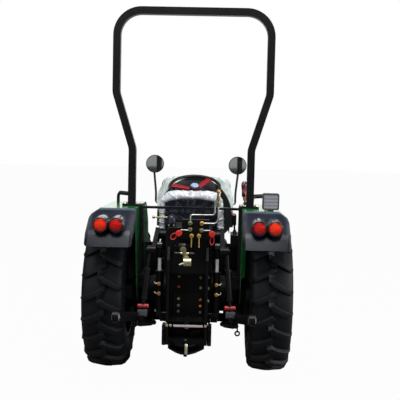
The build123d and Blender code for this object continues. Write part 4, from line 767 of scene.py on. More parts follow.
# ---------------------------------------------------------------- rods, shaft, top link and pipes
# Chromed cylinder rods with black enamelled ends, a bare steel shaft, and a top link of plated steel
# with enamelled ends and handle. The pipes are zinc plated, the couplings' caps red rubber.
ROD_BARE_TOP = 0.858
chrome = Finish("chrome_rod")
bare = 1.0 - chrome.along("Z").above(ROD_BARE_TOP, 0.002)
chrome.set("Base Color", chrome.blend(bare, (0.005, 0.0052, 0.006), (0.80, 0.82, 0.85)))
chrome.set("Metallic", bare * 0.12)
chrome.set("Roughness", 0.20 + chrome.noise(40, 3) * 0.08)
steel = plating("bare_steel", (0.30, 0.29, 0.28), (0.42, 0.41, 0.40), 0.3)
top_link = plating("top_link", (0.46, 0.40, 0.18), (0.64, 0.60, 0.42), 0.3)
behind = top_link.along("Y")
off_axis = abs(top_link.along("X") + behind * 0.125 + 0.1825)
handle = off_axis.above(0.026, 0.001) * (1.0 - behind.above(REAR_AXLE.y - 0.450, 0.002))
ends = behind.above(REAR_AXLE.y - 0.455, 0.002).at_least(handle)
top_link.set("Base Color", top_link.blend(ends, top_link.tone, (0.006, 0.0064, 0.0075)))
top_link.set("Metallic", 1.0 - ends)
white_zinc = plating("white_zinc", (0.36, 0.38, 0.35), (0.50, 0.51, 0.48), 0.34)
cap_red = plastic("cap_red", (0.42, 0.012, 0.010), (0.55, 0.022, 0.015), 500, 0.36)
coat_nodes(chrome, "lift_cylinder_rod_left", "lift_cylinder_rod_right", "steering_rod")
coat_nodes(steel, "pto_shaft")
coat_nodes(top_link, "top_link")
coat_nodes(white_zinc, "hydraulic_pipes")
coat_nodes(cap_red, "coupler_caps")

# ---------------------------------------------------------------- seat
# A foam cushion and a backrest with rounded shoulders, both covered in dark navy vinyl with sewn
# channels. A clear dust cover is pulled over the backrest and hangs creased at its sides.
SWELL_STEPS = 20


def stuffed(piece, voxel, most, low, high, pressure=4.0):
    """Fills a closed shape like foam under a tight cover, no corner moving further than most."""
    finished(piece, ("REMESH", {"mode": "VOXEL", "voxel_size": voxel}))
    start = [corner.co.copy() for corner in piece.data.vertices]
    cover = piece.modifiers.new("cover", "CLOTH")
    cover.settings.use_pressure = True
    cover.settings.uniform_pressure_force = pressure
    cover.settings.effector_weights.gravity = 0
    for step in range(1, SWELL_STEPS + 1):
        bpy.context.scene.frame_set(step)
    bpy.ops.object.modifier_apply(modifier="cover")
    for corner, point in zip(piece.data.vertices, start):
        move = corner.co - point
        if move.length > most:
            corner.co = point + move * (most / move.length)
        corner.co = Vector(max(least, min(greatest, value))
                           for least, value, greatest in zip(low, corner.co, high))


def pushed_out(piece, shift):
    """Moves corners along their normals: shift takes a corner's place and normal, and may give None."""
    normals = [corner.normal.copy() for corner in piece.data.vertices]
    for corner, normal in zip(piece.data.vertices, normals):
        distance = shift(corner.co, normal)
        if distance is not None:
            corner.co += normal * distance


def seam(distance, depth, width=0.007):
    """How far the cover is pulled in at a distance from a seam."""
    return -depth * math.exp(-(distance / width) ** 2)


def channels(past, pitch):
    """The distance to the nearest of a row of seams, from the distance past the first."""
    return min(past % pitch, pitch - past % pitch)


NO_SEAM = 1.0                # a distance at which a seam has no effect
INSET = 0.012                # of each foam block before it is filled
BOLSTER_X, CHANNEL_PITCH, CHANNEL_REACH = 0.165, 0.095, 0.155
vinyl = plastic("navy_vinyl", (0.0020, 0.0028, 0.0072), (0.0038, 0.0050, 0.0110), 700, 0.36)
vinyl.set("Specular IOR Level", 0.16)
low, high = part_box("seat_cushion")
cushion = fresh(bpy.ops.mesh.primitive_cube_add, size=1, location=(low + high) / 2,
                scale=high - low - Vector((2 * INSET, 2 * INSET, 2 * INSET)))
cushion.name = "seat_pad"
bpy.ops.object.mode_set(mode="EDIT")
select_parts("edges", cushion, lambda edge: abs(edge.verts[0].co.z - edge.verts[1].co.z) > 0.01)
bpy.ops.mesh.bevel(offset=0.055, segments=6)
bpy.ops.object.mode_set(mode="OBJECT")
stuffed(cushion, 0.008, 0.022, low, high - Vector((0, 0, 0.001)))
FRONT_SEAM_Y = high.y - 0.095


def cushion_seams(point, normal):
    if normal.z < 0.3:
        return None
    aside, behind_front = abs(point.x), FRONT_SEAM_Y - point.y
    bolster = abs(aside - BOLSTER_X) if behind_front > 0 else NO_SEAM
    front = abs(behind_front) if aside < BOLSTER_X else NO_SEAM
    across = channels(behind_front, CHANNEL_PITCH) if aside < CHANNEL_REACH and behind_front > 0 else NO_SEAM
    return seam(min(bolster, front, across), 0.007)


pushed_out(cushion, cushion_seams)
finished(cushion, SUBDIVIDED, angle=80)
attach(coat(cushion, vinyl), "chassis")
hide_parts("seat_cushion")

low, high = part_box("seat_back")
BACK_LEAN_REAR, BACK_LEAN_FRONT = 0.010, 0.030
SHOULDER = 0.112
TOP_SEAM_Z, BACK_PITCH = high.z - 0.07, 0.075
corners = [(low.x + INSET, low.z + 0.008), (high.x - INSET, low.z + 0.008), (high.x - INSET, high.z - INSET),
           (low.x + INSET, high.z - INSET)]
backrest = outline("seat_backrest", [Vector((x, low.y + INSET, z)) for x, z in corners], closed=True)
select_parts("verts", backrest, lambda corner: corner.co.z > high.z - 2 * INSET)
bpy.ops.mesh.bevel(offset=SHOULDER, segments=8, affect="VERTICES")
extruded(0, high.y - low.y - 2 * INSET - 0.004, 0)
bpy.ops.object.mode_set(mode="OBJECT")
for corner in backrest.data.vertices:
    lean = (corner.co.z - low.z) / (high.z - low.z)
    corner.co.y += BACK_LEAN_REAR * lean if corner.co.y < (low.y + high.y) / 2 else -BACK_LEAN_FRONT * lean
stuffed(backrest, 0.007, 0.016, low + Vector((0, 0, 0.001)), high)
dust_cover = copied(backrest)
dust_cover.name = "seat_dust_cover"


def backrest_seams(point, normal):
    if abs(normal.y) < 0.5:
        return None
    aside, below = abs(point.x), TOP_SEAM_Z - point.z
    edge = abs(aside - BOLSTER_X) if below > 0 else NO_SEAM
    top = abs(below) if aside < BOLSTER_X else NO_SEAM
    across = channels(below, BACK_PITCH) if normal.y > 0 and aside < BOLSTER_X and below > 0 else NO_SEAM
    return seam(min(edge, top, across), 0.006)


pushed_out(backrest, backrest_seams)
finished(backrest, SUBDIVIDED, angle=80)
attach(coat(backrest, vinyl), "chassis")
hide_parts("seat_back")

HEM_Z = high.z - 0.290
FAN_Z = high.z - 0.230             # the creases fan out from a point at this height
COVER_STAND, CREASE, HEM_FLARE = 0.004, 0.008, 0.006
chosen(dust_cover)
bpy.ops.object.mode_set(mode="EDIT")
bpy.ops.mesh.select_all(action="SELECT")
bpy.ops.mesh.bisect(plane_co=(0, 0, HEM_Z), plane_no=(0, 0, 1), clear_inner=True)
bpy.ops.object.mode_set(mode="OBJECT")
finished(dust_cover, ("SMOOTH", {"factor": 0.5, "iterations": 6}), SUBDIVIDED)


def crease(point, normal):
    """How far the film stands off the backrest: thin ridges fan out to the shoulders."""
    out = Vector((point.x, 0, point.z - FAN_Z))
    fan = Vector((math.atan2(out.z, out.x) * 3.2, out.length * 5.0, point.y * 9.0))
    drift = noise.noise_vector(point * 6.0)
    fold = noise.noise(fan + drift * 0.35)
    fine = noise.noise(fan * 2.3 + drift * 0.6)
    return COVER_STAND + CREASE * (0.7 * (1 - abs(fold)) ** 7 + 0.3 * (1 - abs(fine)) ** 6)


noise.seed_set(3)                  # so that the creases drift in the same way each time
drops = [max(0.0, (high.z - 0.10 - corner.co.z) / 0.19) for corner in dust_cover.data.vertices]
pushed_out(dust_cover, crease)
for corner, drop in zip(dust_cover.data.vertices, drops):
    corner.co.x += math.copysign(HEM_FLARE * drop, corner.co.x) * min(1.0, abs(corner.co.x) / 0.2)
finished(dust_cover, ("SOLIDIFY", {"thickness": 0.0006, "offset": 1.0}), angle=80)
film = Finish("clear_film", specular_ior_level=0.3)
across, height = film.along("X"), film.along("Z")
aside, climb = abs(across), height - FAN_Z
# The film is painted paler and more opaque towards its top and sides.
haze = (height + aside * aside * 0.9).above(high.z - 0.058, 0.020).at_least(aside.above(0.196, 0.016))
fan_angle = film.node("ShaderNodeMath", {"operation": "ARCTAN2"}, {0: climb, 1: across})
fan_reach = (across * across + climb * climb) ** 0.5
fan = film.node("ShaderNodeCombineXYZ", {}, {0: fan_angle * 1.1, 1: fan_reach * 2.2, 2: fan_reach * 0.8})
folds = film.noise(3.4, 3, 0.6, fan)
# Painted highlight: the creases' ridges are painted pale and more opaque.
crease_highlight = 1.0 - abs(folds - 0.5).above(0.022, 0.018)
mist = film.noise(6, 3, 0.55)
cover_share = haze * (0.62 + mist * 0.36) + crease_highlight * (0.02 + haze * 0.36)
film.set("Base Color", film.blend(crease_highlight * 0.6 + mist * 0.5, (0.52, 0.54, 0.60), (0.94, 0.95, 0.98)))
film.set("Alpha", film.node("ShaderNodeMath", {"operation": "MINIMUM"}, {0: cover_share, 1: 0.95}))
film.set("Roughness", 0.14 + mist * 0.2)
film.bump(folds * 0.7 + mist * 0.3, 0.012, 0.6)
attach(coat(dust_cover, film), "chassis")
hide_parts("seat_film")

# ---------------------------------------------------------------- grab handles and hand levers
# Bent tube handles on the fenders have ribbed rubber grips. The hand levers carry moulded knobs, one
# large and crimson, two small and faded pink.


def collar(name, start, end, profile, body, finish, steps=28, angle=30):
    """A turned piece between two points; the profile gives its radius at shares of its length."""
    start, run = Vector(start), Vector(end) - Vector(start)
    points = [(0.0, 0.0)] + [(share * run.length, radius) for share, radius in profile] + [(run.length, 0.0)]
    piece = turned(name, points, start, run, steps=steps, closed=False)
    coat(finished(piece, angle=angle), finish)
    if body:
        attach(piece, body)
    return piece


def on_side(side, point):
    """A point of the right half, or its mirror point of the left half."""
    return Vector((side * point[0], point[1], point[2]))


GRIP_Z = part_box("fender_handles")[1].z - 0.011
GRIP_START = (0.436, REAR_AXLE.y + 0.0726, GRIP_Z)
GRIP_END = (0.519, REAR_AXLE.y + 0.1674, GRIP_Z)
RIBS = 14
ribs = [(index / RIBS * 0.94 + past, radius) for index in range(RIBS)
        for past, radius in ((0.03, 0.0125), (0.05, 0.0150), (0.075, 0.0150))]
soft_grip = plastic("soft_grip", (0.0030, 0.0032, 0.0036), (0.006, 0.0062, 0.0068), 300, 0.5)
for side, name in SIDES:
    collar("handle_grip_" + name, on_side(side, GRIP_START), on_side(side, GRIP_END), ribs, "chassis",
           soft_grip, angle=35)
KNOB = [(0.0, 0.0085), (0.06, 0.012), (0.35, 0.0165), (0.62, 0.0215), (0.80, 0.0230), (0.93, 0.0195),
        (1.0, 0.010)]
TALL_LEVER_Y, SMALL_LEVER_X, SMALL_SHARE = REAR_AXLE.y + 0.200, 0.307, 0.74
knob_crimson = Finish("lever_knob", specular_ior_level=0.5, roughness=0.25)
bulb = knob_crimson.blend(knob_crimson.noise(60, 2).above(0.5, 0.2), (0.045, 0.006, 0.016),
                          (0.20, 0.05, 0.08))
upper = knob_crimson.along("Z").above(TAIL_TOP + 0.100, 0.02)
knob_crimson.set("Base Color", knob_crimson.blend(upper, (0.50, 0.15, 0.12), bulb))
knob_pink = plastic("small_knob", (0.40, 0.06, 0.07), (0.56, 0.12, 0.13), 300, 0.3)
collar("lever_knob_tall", (0.377, TALL_LEVER_Y, TAIL_TOP + 0.030), (0.371, TALL_LEVER_Y, TAIL_TOP + 0.170),
       KNOB, "chassis", knob_crimson, angle=35)
for y in (REAR_AXLE.y + 0.290, REAR_AXLE.y + 0.370):
    collar("lever_knob_small", (SMALL_LEVER_X, y, TAIL_TOP - 0.160), (SMALL_LEVER_X, y, TAIL_TOP - 0.076),
           [(share, radius * SMALL_SHARE) for share, radius in KNOB], "chassis", knob_pink, angle=35)

# ---------------------------------------------------------------- gearbox and axle bolts
# Plated and black hexagon bolts hold the covers, the axle housings and the lift housing. Some carry
# the fitter's dabs of orange, red and green paint.


def painted(name, colour):
    finish = Finish(name, roughness=0.42)
    finish.set("Base Color", finish.blend(finish.noise(60, 3), colour, tuple(0.6 * part for part in colour)))
    return finish.bump(finish.noise(300, 2), 0.0003, 0.3)


def spot(x, back, up):
    """A point by its distances behind the rear axle and above the gearbox's bottom."""
    return Vector((x, REAR_AXLE.y - back, CASE_BOTTOM + up))


BACKWARD = (0, -1, 0)
CASE_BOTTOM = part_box("transmission_case")[1].z - 0.779
CASE_BACK, COVER_BACK, COVER_TOP = 0.250, 0.262, 0.26
HOUSING_REAR, HOUSING_TOP = REAR_AXLE.y - 0.330, CASE_BOTTOM + 0.700
orange_dab = painted("orange_dab", (0.86, 0.30, 0.06))
dark_bolt = hex_head("black_bolt_model", powder)
orange_bolt = hex_head("orange_bolt_model", orange_dab)
red_bolt = hex_head("red_bolt_model", painted("red_dab", (0.78, 0.11, 0.04)))
green_bolt = hex_head("green_bolt_model", painted("green_dab", (0.32, 0.44, 0.07)))
dull_bolt = hex_head("dull_bolt_model", steel)
# x, and the heights of the bolts, of the two columns on the gearbox's rear face
COLUMNS = [(-0.062, [(0.368, orange_bolt), (0.300, red_bolt), (0.222, green_bolt), (0.178, dull_bolt),
                     (0.138, dull_bolt)]),
           (0.083, [(0.364, orange_bolt), (0.296, dull_bolt), (0.218, red_bolt), (0.176, orange_bolt),
                    (0.134, dull_bolt)])]
for model in (dull_bolt, orange_bolt, red_bolt, green_bolt):
    places = [aimed(spot(x, COVER_BACK if up < COVER_TOP else CASE_BACK, up), BACKWARD, 0.0068)
              for x, column in COLUMNS for up, kind in column if kind is model]
    repeated("gearbox_cover_" + model.name.replace("_model", "s"), model, places, "chassis")
top_bolts = [aimed((side * 0.122, HOUSING_REAR + along, HOUSING_TOP), UPWARD, 0.009)
             for side in (1, -1) for along in (0.030, 0.125, 0.225, 0.330) if side > 0 or along != 0.030]
repeated("lift_cover_bolts", dark_bolt, top_bolts, "chassis")
FLANGE_FACE, FLANGE_CIRCLE = 0.177, 0.1325
HUB_FACE, HUB_CIRCLE = 0.370, 0.0912
axle_bolts = []
for side in (1, -1):
    flange, hub_end = (Vector((side * face, REAR_AXLE.y, REAR_AXLE.z)) for face in (FLANGE_FACE, HUB_FACE))
    axle_bolts += ring(flange, (side, 0, 0), FLANGE_CIRCLE, 12, 0.008, 0.13)
    axle_bolts += ring(hub_end, (-side, 0, 0), HUB_CIRCLE, 10, 0.0075, 0.3)
repeated("axle_housing_bolts", dark_bolt, axle_bolts, "chassis")

# ---------------------------------------------------------------- mirror stem sleeves
# Heat-shrunk rubber sleeves over the thin tube stems of both mirrors. Each reaches from beside the
# cowl up past the stem's bend.


def pipe(name, points, radius, bend, body, finish, sides=4):
    """A round rod or tube along points, its corners bent."""
    outline(name, [Vector(point) for point in points])
    if len(points) > 2:
        bpy.ops.mesh.select_all(action="SELECT")
        bpy.ops.mesh.bevel(offset=bend, segments=5, affect="VERTICES")
    bpy.ops.object.mode_set(mode="OBJECT")
    bpy.ops.object.convert(target="CURVE")
    line = bpy.context.object
    line.data.bevel_depth = radius
    line.data.bevel_resolution = sides
    line.data.use_fill_caps = True
    bpy.ops.object.convert(target="MESH")
    piece = coat(finished(bpy.context.object, angle=50), finish)
    piece.name = name
    if body:
        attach(piece, body)
    return piece


low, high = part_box("mirrors")
STEM_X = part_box("dash_console")[1].x + 0.016
HEAD_X, HEAD_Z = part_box("mirror_glass")[1].x - 0.0649, high.z - 0.075
stem = [Vector((x, (low.y + high.y) / 2, HEAD_Z - drop))
        for x, drop in ((STEM_X, 0.312), (STEM_X, 0.235), (HEAD_X, 0.072))]
for side, name in SIDES:
    pipe("mirror_sleeve_" + name, [on_side(side, point) for point in stem], 0.0088, 0.012, "chassis",
         soft_grip)

# ---------------------------------------------------------------- rear hydraulics
# Zinc and brass unions face the rear from the valve block, two with drain stems. Red rubber caps with
# looped straps close the two hose couplings.
brass = plating("brass", (0.62, 0.30, 0.08), (0.78, 0.46, 0.16), 0.26)
yellow_brass = plating("yellow_brass", (0.50, 0.33, 0.08), (0.66, 0.46, 0.14), 0.30)
olive_zinc = plating("olive_zinc", (0.22, 0.20, 0.11), (0.36, 0.33, 0.20), 0.32)
low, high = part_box("coupler_caps")
COUPLER_Z = (low.z + high.z) / 2
VALVE_FACE = high.y + 0.0083
UNION_SHAPE = [(0.0, 0.0125), (0.35, 0.0135), (0.4, 0.0115), (0.9, 0.0110), (1.0, 0.0090)]
# x, height over the lift housing, metal, and whether a drain stem hangs from it
UNIONS = [(0.010, 0.040, olive_zinc, False), (0.084, 0.040, brass, False), (0.010, 0.0, olive_zinc, False),
          (0.084, -0.004, olive_zinc, False), (0.020, -0.040, yellow_brass, True),
          (0.068, -0.040, yellow_brass, True)]
for number, (x, height, metal, drained) in enumerate(UNIONS):
    face = Vector((x, VALVE_FACE, HOUSING_TOP + height))
    union = [collar("union", face, face + Vector((0, -0.020, 0)), UNION_SHAPE, None, metal),
             settled(hex_head("union_head", metal, washer=1.2, height=0.8),
                     aimed(face + Vector((0, -0.018, 0)), BACKWARD, 0.0095))]
    if drained:
        union.append(pipe("stem", [face + Vector((0, -0.012, -0.008)), face + Vector((0, -0.014, -0.072))],
                          0.0048, 0.01, None, metal))
    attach(joined(f"union_{number + 1}", union), "chassis")
for reach in ((-0.048, 0.0), (0.094, 0.138)):
    pipe("valve_link_pipe", [(x, VALVE_FACE - 0.008, HOUSING_TOP - 0.004) for x in reach], 0.004, 0.01,
         "chassis", white_zinc)


def cap_strap(name, x, drop, across, tall, lean):
    """The strap of a dust cap: a long ring of moulded rubber, hung from the cap."""
    strap = fresh(bpy.ops.mesh.primitive_torus_add, major_radius=1.0, minor_radius=0.17, major_segments=36,
                  minor_segments=8)
    strap.name = name
    settled(strap, Matrix.Translation((x, low.y + 0.014, COUPLER_Z - drop)) @ Matrix.Rotation(lean, 4, "Y")
            @ Matrix.Rotation(math.radians(82), 4, "X") @ Matrix.Diagonal((across, tall, 0.019, 1)))
    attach(coat(finished(strap), cap_red), "chassis")


cap_strap("cap_strap_left", low.x - 0.014, 0.020, 0.0155, 0.0215, math.radians(38))
cap_strap("cap_strap_right", high.x - 0.017, 0.042, 0.0125, 0.0255, math.radians(4))
RIB_SHAPE = [(0.0, 0.0185), (0.0, 0.0202), (0.0035, 0.0202), (0.0035, 0.0185)]
for x in (low.x + 0.019, high.x - 0.019):
    rib = coat(turned("rib_model", RIB_SHAPE, steps=28), cap_red)
    places = [aimed((x, high.y - 0.004 - 0.007 * index, COUPLER_Z), BACKWARD) for index in range(3)]
    repeated("cap_ribs", rib, places, "chassis")
    bpy.data.objects.remove(rib)

# ---------------------------------------------------------------- axle feet and hitch frame
# Cast feet, webs and lips carry the hitch under the axle, with bosses for the link pins and cheeks
# for the frame. Black and plated bolts hold them.


def block(name, first, second, edge, body, finish):
    """A box between two opposite corners, with its edges rounded."""
    size = Vector(abs(part) for part in second - first)
    piece = fresh(bpy.ops.mesh.primitive_cube_add, size=1, location=(first + second) / 2, scale=size)
    piece.name = name
    coat(finished(piece, rounded(edge, 2)), finish)
    if body:
        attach(piece, body)
    return piece


# piece, two opposite corners on the right, and how far its edges are rounded
FOOT_PARTS = [("axle_foot", (0.252, 0.030, 0.050), (0.386, -0.034, 0.165), 0.010),
              ("axle_foot_web", (0.238, 0.020, 0.058), (0.262, -0.024, 0.170), 0.006),
              ("axle_foot_lip", (0.192, 0.018, 0.092), (0.242, -0.022, 0.170), 0.004),
              ("link_pin_boss", (0.1335, 0.030, 0.072), (0.190, -0.010, 0.114), 0.006),
              ("frame_cheek", (0.1335, 0.380, -0.062), (0.161, 0.300, 0.072), 0.006)]
FOOT_BOLTS = [("frame_cheek_bolts", [(0.148, 0.380, -0.044), (0.148, 0.380, 0.052)], 0.008),
              ("axle_foot_bolts", [(0.280, 0.030, 0.090), (0.338, 0.030, 0.090)], 0.009)]
FRAME_X = 0.133
for side, name in SIDES:
    for kind, first, second, edge in FOOT_PARTS:
        block(f"{kind}_{name}", on_side(side, spot(*first)), on_side(side, spot(*second)), edge, "chassis",
              casting)
    for kind, points, size in FOOT_BOLTS:
        places = [aimed(on_side(side, spot(*point)), BACKWARD, size) for point in points]
        repeated(f"{kind}_{name}", dark_bolt, places, "chassis")
    frame_nuts = [aimed(spot(side * FRAME_X, 0.290, up), (side, 0, 0), 0.010)
                  for up in (-0.025, 0.050, 0.215, 0.300, 0.375)]
    frame_nuts.append(aimed(spot(side * FRAME_X, 0.385, 0.085), (side, 0, 0), 0.009))
    repeated("hitch_frame_bolts_" + name, bolt, frame_nuts, "chassis")
bar_steel = painted("bar_steel", (0.62, 0.55, 0.54))
block("guard_bar", spot(-0.084, 0.4135, 0.069), spot(0.106, 0.4085, 0.083), 0.001, "chassis", bar_steel)
for x in (-0.126, -0.102, 0.122):
    repeated("guard_bar_bolt", bolt, [aimed(spot(x, 0.4102, 0.078), BACKWARD, 0.007)], "chassis")
block("drawbar_carrier", spot(-0.1165, 0.276, -0.098), spot(0.1165, 0.2625, 0.012), 0.004, "chassis", casting)
for x in (-0.075, 0.0, 0.075):
    block("drawbar_carrier_rib", spot(x - 0.006, 0.300, -0.008), spot(x + 0.006, 0.270, 0.008), 0.003,
          "chassis", casting)
collar("hitch_safety_pin", spot(0.006, 0.572, -0.063), spot(0.006, 0.572, 0.004),
       [(0.0, 0.0070), (0.08, 0.0100), (0.92, 0.0100), (1.0, 0.0070)], "chassis", zinc)
collar("hitch_pin_head", spot(0, 0.515, 0.004), spot(0, 0.515, 0.020),
       [(0.0, 0.0185), (0.6, 0.0185), (1.0, 0.012)], "chassis", hitch_black)

# ---------------------------------------------------------------- lift rods and cylinders
# Black forged lift rods with lock nuts, a red grip on the screw and a grey yoke at the foot. Brass
# unions with short zinc elbows feed the cylinders, and a clevis ends each chromed rod.
LIFT_TOP, LIFT_FOOT = spot(0.2465, 0.420, 0.565), spot(0.280, 0.485, 0.149)
CYLINDER_TOP, CYLINDER_FOOT = spot(0.187, 0.330, 0.5845), spot(0.187, 0.300, 0.130)
CYLINDER_RUN = (CYLINDER_TOP - CYLINDER_FOOT).normalized()
GRIP_HALF, YOKE_HALF = Vector((0.036, 0, 0)), Vector((0.031, 0.019, 0.021))
NUT_HALF = 0.022
GRIP_SHAPE = [(0.0, 0.010), (0.06, 0.0135), (0.94, 0.0135), (1.0, 0.010)]
PORT_SHAPE = [(0.0, 0.0125), (0.7, 0.0125), (0.75, 0.0095), (0.9, 0.009), (1.0, 0.006)]
GLAND_SHAPE = [(0.0, 0.0262), (0.15, 0.0275), (0.85, 0.0275), (1.0, 0.0225)]
CLEVIS_SHAPE = [(0.0, 0.0135), (0.1, 0.0165), (0.75, 0.0175), (1.0, 0.0165)]
grip_red = painted("grip_red", (0.34, 0.006, 0.007))
grey_iron = painted("grey_iron", (0.055, 0.057, 0.062))
for side, name in SIDES:
    rod, cylinder = "lift_rod_" + name, "lift_cylinder_" + name
    screw = on_side(side, LIFT_TOP.lerp(LIFT_FOOT, 0.845))
    collar("lift_grip_" + name, screw - GRIP_HALF, screw + GRIP_HALF, GRIP_SHAPE, rod, grip_red)
    yoke = on_side(side, LIFT_TOP.lerp(LIFT_FOOT, 0.945))
    block("lift_yoke_" + name, yoke - YOKE_HALF, yoke + YOKE_HALF, 0.006, rod, grey_iron)
    for share in (0.28, 0.72):
        start, end = (on_side(side, LIFT_TOP.lerp(LIFT_FOOT, share + past)) for past in (-0.012, 0.025))
        tall = (end - start).length
        nut = turned("lift_lock_nut_" + name, [(0, 0.0), (0, NUT_HALF), (tall, NUT_HALF), (tall, 0.0)], start,
                     end - start, steps=6, closed=False)
        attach(coat(finished(nut, rounded(0.0015, 1), angle=20), hitch_black), rod)
    for reach in (0.205, 0.140):
        port = on_side(side, CYLINDER_FOOT + CYLINDER_RUN * reach + Vector((0, -0.0225, 0)))
        union = [collar("port", port, port + Vector((0, -0.016, 0)), PORT_SHAPE, None, brass)]
        elbow = [port + Vector(step) for step in ((side * 0.010, -0.008, 0), (side * 0.026, -0.008, 0),
                                                  (side * 0.030, -0.004, 0.012))]
        union.append(pipe("elbow", elbow, 0.0042, 0.006, None, white_zinc))
        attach(joined("cylinder_union_" + name, union), cylinder)
    gland = [on_side(side, CYLINDER_FOOT + CYLINDER_RUN * reach) for reach in (0.268, 0.288)]
    collar("cylinder_gland_" + name, *gland, GLAND_SHAPE, cylinder, hitch_black)
    clevis = [on_side(side, CYLINDER_TOP.lerp(CYLINDER_FOOT, 0.045) - CYLINDER_RUN * back)
              for back in (0.060, 0)]
    collar("rod_clevis_" + name, *clevis, CLEVIS_SHAPE, "lift_cylinder_rod_" + name, hitch_black)

# ---------------------------------------------------------------- lower links and their checks Bare
# steel balls in the forged links' rear eyes.
LINK_FRONT, LINK_BALL = spot(0.215, 0.020, 0.050), spot(0.395, 0.865, 0.230)
BALL_SHAPE = [(0.0, 0.0122), (0.0055, 0.0122), (0.0055, 0.017), (0.0, 0.0255)]
TURNBUCKLE_SHAPE = [(0.0, 0.009), (0.02, 0.016), (0.10, 0.016), (0.11, 0.010), (0.22, 0.010), (0.23, 0.0205),
                    (0.78, 0.0205), (0.79, 0.010), (0.89, 0.010), (0.90, 0.016), (0.98, 0.016), (1.0, 0.009)]


def wire_ring(centre, radius, half):
    """A ring of round wire that hangs square to the tractor's length."""
    return finished(fresh(bpy.ops.mesh.primitive_torus_add, major_radius=radius, minor_radius=half,
                          major_segments=28, minor_segments=8, location=centre,
                          rotation=(math.radians(90), 0, 0)))


for (side, name), ring_drop in zip(SIDES, (0.026, 0.066)):
    link = "lower_link_" + name
    for face in (1, -1):
        start = on_side(side, LINK_BALL) + Vector((face * 0.0176, 0, 0))
        ball = turned("link_ball_" + name, BALL_SHAPE, start, (face, 0, 0), steps=32)
        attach(coat(finished(ball, rounded(0.001, 1)), steel), link)
    tab = on_side(side, LINK_FRONT.lerp(LINK_BALL, 0.60)) + Vector((0, 0, -0.026))
    block("check_chain_tab_" + name, tab + Vector((-0.004, -0.012, 0.008 - ring_drop)),
          tab + Vector((0.004, 0.012, 0.004)), 0.002, link, hitch_black)
    eye = wire_ring(tab - Vector((0, 0, ring_drop)), 0.0135, 0.0050)
    eye.name = "check_chain_eye_" + name
    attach(coat(eye, hitch_black), link)
    turnbuckle = [on_side(side, LINK_FRONT.lerp(LINK_BALL, share) - Vector((0, 0, 0.047)))
                  for share in (0.09, 0.57)]
    collar("check_turnbuckle_" + name, *turnbuckle, TURNBUCKLE_SHAPE, link, hitch_black, 20)
    for share in (0.12, 0.54):
        hanger = on_side(side, LINK_FRONT.lerp(LINK_BALL, share))
        block("check_hanger_" + name, hanger + Vector((-0.005, -0.014, -0.052)),
              hanger + Vector((0.005, 0.014, -0.010)), 0.003, link, hitch_black)

# ---------------------------------------------------------------- pins, relief valve and breather
# The top link's tommy bar, a lynch pin on its ring, the relief valve with its brass cap, and the
# gearbox's blue moulded breather on its thin arm.
pipe("top_link_tommy_bar", [spot(-0.040, 0.720, 0.520), spot(0.030, 0.720, 0.548)], 0.006, 0.01, "top_link",
     zinc)
TEE = Vector((0.187, REAR_AXLE.y - 0.400, HOUSING_TOP + 0.150))
VALVE_SHAPE = [(0.0, 0.0150), (0.28, 0.0160), (0.30, 0.0125), (0.45, 0.0125), (0.47, 0.0150), (0.62, 0.0150),
               (0.64, 0.0120), (0.80, 0.0118), (0.82, 0.0080), (1.0, 0.0075)]
VALVE_CAP = [(0.0, 0.0075), (0.1, 0.0150), (0.45, 0.0155), (0.5, 0.009), (0.62, 0.0105), (0.85, 0.0100),
             (1.0, 0.006)]
collar("relief_valve", TEE, TEE + Vector((0, 0, 0.086)), VALVE_SHAPE, "chassis", olive_zinc)
collar("relief_valve_cap", TEE + Vector((0, 0, 0.084)), TEE + Vector((0, 0, 0.107)), VALVE_CAP, "chassis",
       brass)
PIN_RING = Vector((0.086, HOUSING_REAR - 0.004, CASE_BOTTOM + 0.452))
lynch = coat(wire_ring(PIN_RING, 0.011, 0.0018), zinc)
stub = collar("lynch_stub", PIN_RING + Vector((0, -0.001, -0.011)), PIN_RING + Vector((0, -0.001, -0.036)),
              [(0.0, 0.005), (0.7, 0.005), (1.0, 0.002)], None, orange_dab, 16)
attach(joined("lynch_pin", [lynch, stub]), "chassis")
breather_blue = plastic("breather_cap", (0.004, 0.006, 0.014), (0.008, 0.011, 0.022), 600, 0.24)
BREATHER = Vector((-0.117, HOUSING_REAR + 0.060, HOUSING_TOP))
BREATHER_SHAPE = [(0.0, 0.0300), (0.06, 0.0312), (0.12, 0.0300), (0.5, 0.0305), (0.72, 0.0265),
                  (0.86, 0.0195), (0.95, 0.0110), (0.99, 0.004)]
ARM_SHAPE = [(0.0, 0.004), (0.04, 0.0095), (0.15, 0.0095), (0.19, 0.0045), (0.7, 0.0045), (0.72, 0.0065),
             (1.0, 0.0065)]
collar("breather_cap", BREATHER + Vector((0, 0, 0.022)), BREATHER + Vector((0, 0, 0.0805)), BREATHER_SHAPE,
       "chassis", breather_blue, 40)
for x in (-0.016, 0.017):
    screw_place = aimed(BREATHER + Vector((x, -0.029, 0.012)), BACKWARD, 0.0045)
    repeated("breather_screw", bolt, [screw_place], "chassis")
collar("breather_arm", BREATHER + Vector((-0.128, 0, 0.060)), BREATHER + Vector((-0.029, 0, 0.060)),
       ARM_SHAPE, "chassis", olive_zinc, 16)

# ---------------------------------------------------------------- engine bay
# Seen when the bonnet is open: a ribbed rocker cover, the intake pipe, a belt-driven fan and its
# alternator, an air cleaner on its shelf, a battery, and the radiator's core and top hose.
low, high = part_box("engine_block")
ENGINE_TOP, ENGINE_FRONT = high.z, high.y
BAY_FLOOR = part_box("radiator")[0].z


def bay(x, ahead, up):
    """A point by its distances ahead of the engine's front and above its top."""
    return Vector((x, ENGINE_FRONT + ahead, ENGINE_TOP + up))


